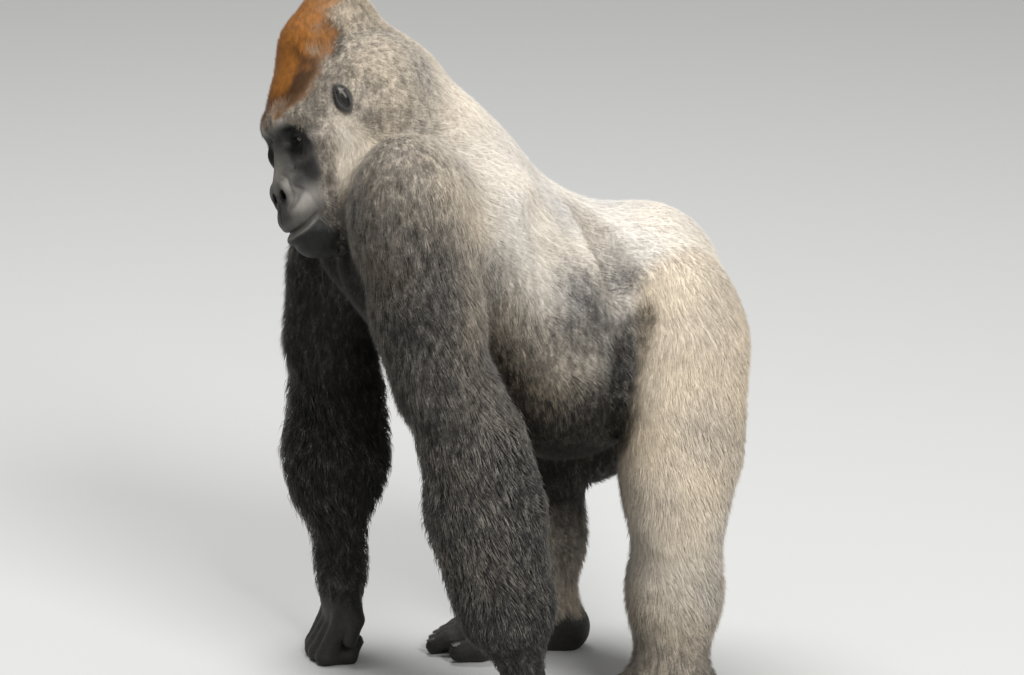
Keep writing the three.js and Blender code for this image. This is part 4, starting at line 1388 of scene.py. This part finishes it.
def make_eye(side, s, material):
    rings, spokes = 40, 48
    centre = arr(EYE_FORWARD, s * EYE_LEFT, EYE_UP)
    across = unit(np.cross(GAZE, arr(0, 0, 1)))
    over = np.cross(across, GAZE)
    angles = np.repeat(np.linspace(0.5, 179.5, rings), spokes)
    turn = np.tile(np.linspace(0, 2 * math.pi, spokes, endpoint=False), rings)
    bulge = CORNEA * np.clip(1 - (angles / (IRIS + 4)) ** 2, 0, 1)
    a, turn = np.radians(angles)[:, None], turn[:, None]
    h = np.cos(a) * GAZE + np.sin(a) * (np.cos(turn) * across + np.sin(turn) * over)
    points = from_head(centre + h * (EYE_R - CORNEA + bulge)[:, None])
    i = np.arange(rings - 1)[:, None] * spokes
    j = np.arange(spokes)[None]
    k = (j + 1) % spokes
    quads = np.stack([i + j, i + spokes + j, i + spokes + k, i + k], -1).reshape(-1, 4)
    caps = np.array([[0, m, m + 1] for m in range(1, spokes - 1)])
    last = (rings - 1) * spokes
    caps = np.concatenate([caps, last + caps[:, ::-1]])
    eye = mesh_from("eye_" + side, points, quads, caps)
    give(eye.data, "from_gaze", angles)
    eye.data.materials.append(material)
    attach(eye, "root")
    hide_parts("eye_" + side)


EYE_MATERIAL = eye_material()
make_eye("left", 1, EYE_MATERIAL)
make_eye("right", -1, EYE_MATERIAL)


# ---- Nails ----
NAIL_CROWN = 1.3  # mm that its middle stands over its rim
NAIL_RIM, NAIL_ROOT = 0.5, 2.2  # mm that its rim and its underside are under the tip's surface


def nail(centre, out, ahead, radius, wide, long):
    """A curved plate that stands a little out of a rounded tip: its points and its quads."""
    n = 9
    ahead = unit(ahead)
    out = unit(out - ahead * (out @ ahead))
    side = np.cross(ahead, out)
    u, v = (w.ravel() for w in np.meshgrid(np.linspace(-1, 1, n), np.linspace(-1, 1, n), indexing="ij"))
    u2, v2 = u * np.sqrt(1 - v * v / 2.4), v * np.sqrt(1 - u * u / 2.4)
    angle = u2 * wide / radius
    crown = NAIL_CROWN * np.clip(1 - np.maximum(u * u, v * v * 0.9), 0, 1) ** 0.5
    points = []
    spoke = np.cos(angle)[:, None] * out + np.sin(angle)[:, None] * side
    for height in (np.full(n * n, radius - NAIL_ROOT), radius - NAIL_RIM + crown):
        points.append(centre + spoke * height[:, None] + ahead * (v2 * long)[:, None])
    at = np.arange(n * n).reshape(n, n)
    top = np.stack([at[:-1, :-1], at[1:, :-1], at[1:, 1:], at[:-1, 1:]], -1).reshape(-1, 4)
    rim = np.concatenate([at[0, :], at[1:, -1], at[-1, -2::-1], at[-2:0:-1, 0]])
    walls = np.stack([rim, np.roll(rim, -1), np.roll(rim, -1) + n * n, rim + n * n], 1)
    return np.concatenate(points), np.concatenate([top[:, ::-1], top + n * n, walls])


def make_nails():
    points, quads, count = [], [], 0
    made = []
    for limb in LIMBS:
        for f in FINGERS:
            *_, heel, tip = finger_of(arr(limb["joint"]["knuckle"]), f)
            ahead = unit(tip - heel)
            made.append(nail(tip - ahead * 2, np.cross(ahead, arr(0, -1, 0)), ahead, FINGER_R - 3, 8.5, 8))
        *small, great = toes_of(limb["joint"], limb["s"])
        for _, bend, tip in small:
            made.append(nail(tip, arr(0, 0, 1), tip - bend, TOE_R - 1, 7.5, 7.5))
        made.append(nail(great[2], arr(0, 0, 1), great[2] - great[1], 16, 10, 9.5))
    for each, faces in made:
        points.append(each)
        quads.append(faces + count)
        count += len(each)
    nails = mesh_from("nails", np.concatenate(points), np.concatenate(quads), np.zeros((0, 3), int))
    material, tree, shader = material_with("nail")
    grain = noise(tree, 300, 3, 0.6)
    set_inputs(tree, shader, {"Base Color": mixed(tree, grain, NAIL_DARK, NAIL_PALE), "Roughness": 0.32})
    nails.data.materials.append(material)
    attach(nails, "root")


make_nails()


# ---- Camera, light and floor ----
CAMERA_AZIMUTH, CAMERA_HEIGHT = -14, 15  # degrees round the animal and above it
CAMERA_FAR = 9.0  # metres
CAMERA_LENS, SENSOR = 197.8, 36
CAMERA_TARGET = (-29, 0, 587)
FLOOR = 30  # metres from the middle to each side
LIT = Vector((0, 0, 0.6))  # where the lamps point


def make_camera():
    az, el = math.radians(CAMERA_AZIMUTH), math.radians(CAMERA_HEIGHT)
    target = Vector(to_frame(CAMERA_TARGET))
    away = Vector((math.sin(az) * math.cos(el), -math.cos(az) * math.cos(el), math.sin(el)))
    data = bpy.data.cameras.new("camera")
    data.lens = CAMERA_LENS
    data.sensor_width = SENSOR
    camera = placed("camera", data)
    camera.location = target + away * CAMERA_FAR
    camera.rotation_euler = (-away).to_track_quat("-Z", "Y").to_euler()
    bpy.context.scene.camera = camera


def area_light(name, at, size, power):
    data = bpy.data.lights.new(name, "AREA")
    data.shape = "DISK"
    data.size = size
    data.energy = power
    lamp = placed(name, data)
    lamp.location = at
    lamp.rotation_euler = (LIT - Vector(at)).to_track_quat("-Z", "Y").to_euler()


def make_stage():
    mesh = bpy.data.meshes.new("floor")
    corners = [(x * FLOOR, y * FLOOR, 0) for x, y in ((-1, -1), (1, -1), (1, 1), (-1, 1))]
    mesh.from_pydata(corners, [], [(0, 1, 2, 3)])
    floor = placed("floor", mesh)
    material, tree, shader = material_with("floor")
    set_inputs(tree, shader, {"Base Color": (0.54, 0.54, 0.53), "Roughness": 0.8})
    mesh.materials.append(material)
    world = bpy.data.worlds.new("studio")
    world.use_nodes = True
    sky = world.node_tree.nodes["Background"]
    set_inputs(world.node_tree, sky, {"Color": (1, 1, 1), "Strength": 0.4})
    bpy.context.scene.world = world
    area_light("overhead", (-0.6, 1.4, 6.8), 4.0, 350)
    area_light("side", (1.1, -6.5, 5.2), 3.0, 610)
    bpy.context.scene.view_settings.view_transform = "Standard"


make_camera()
make_stage()
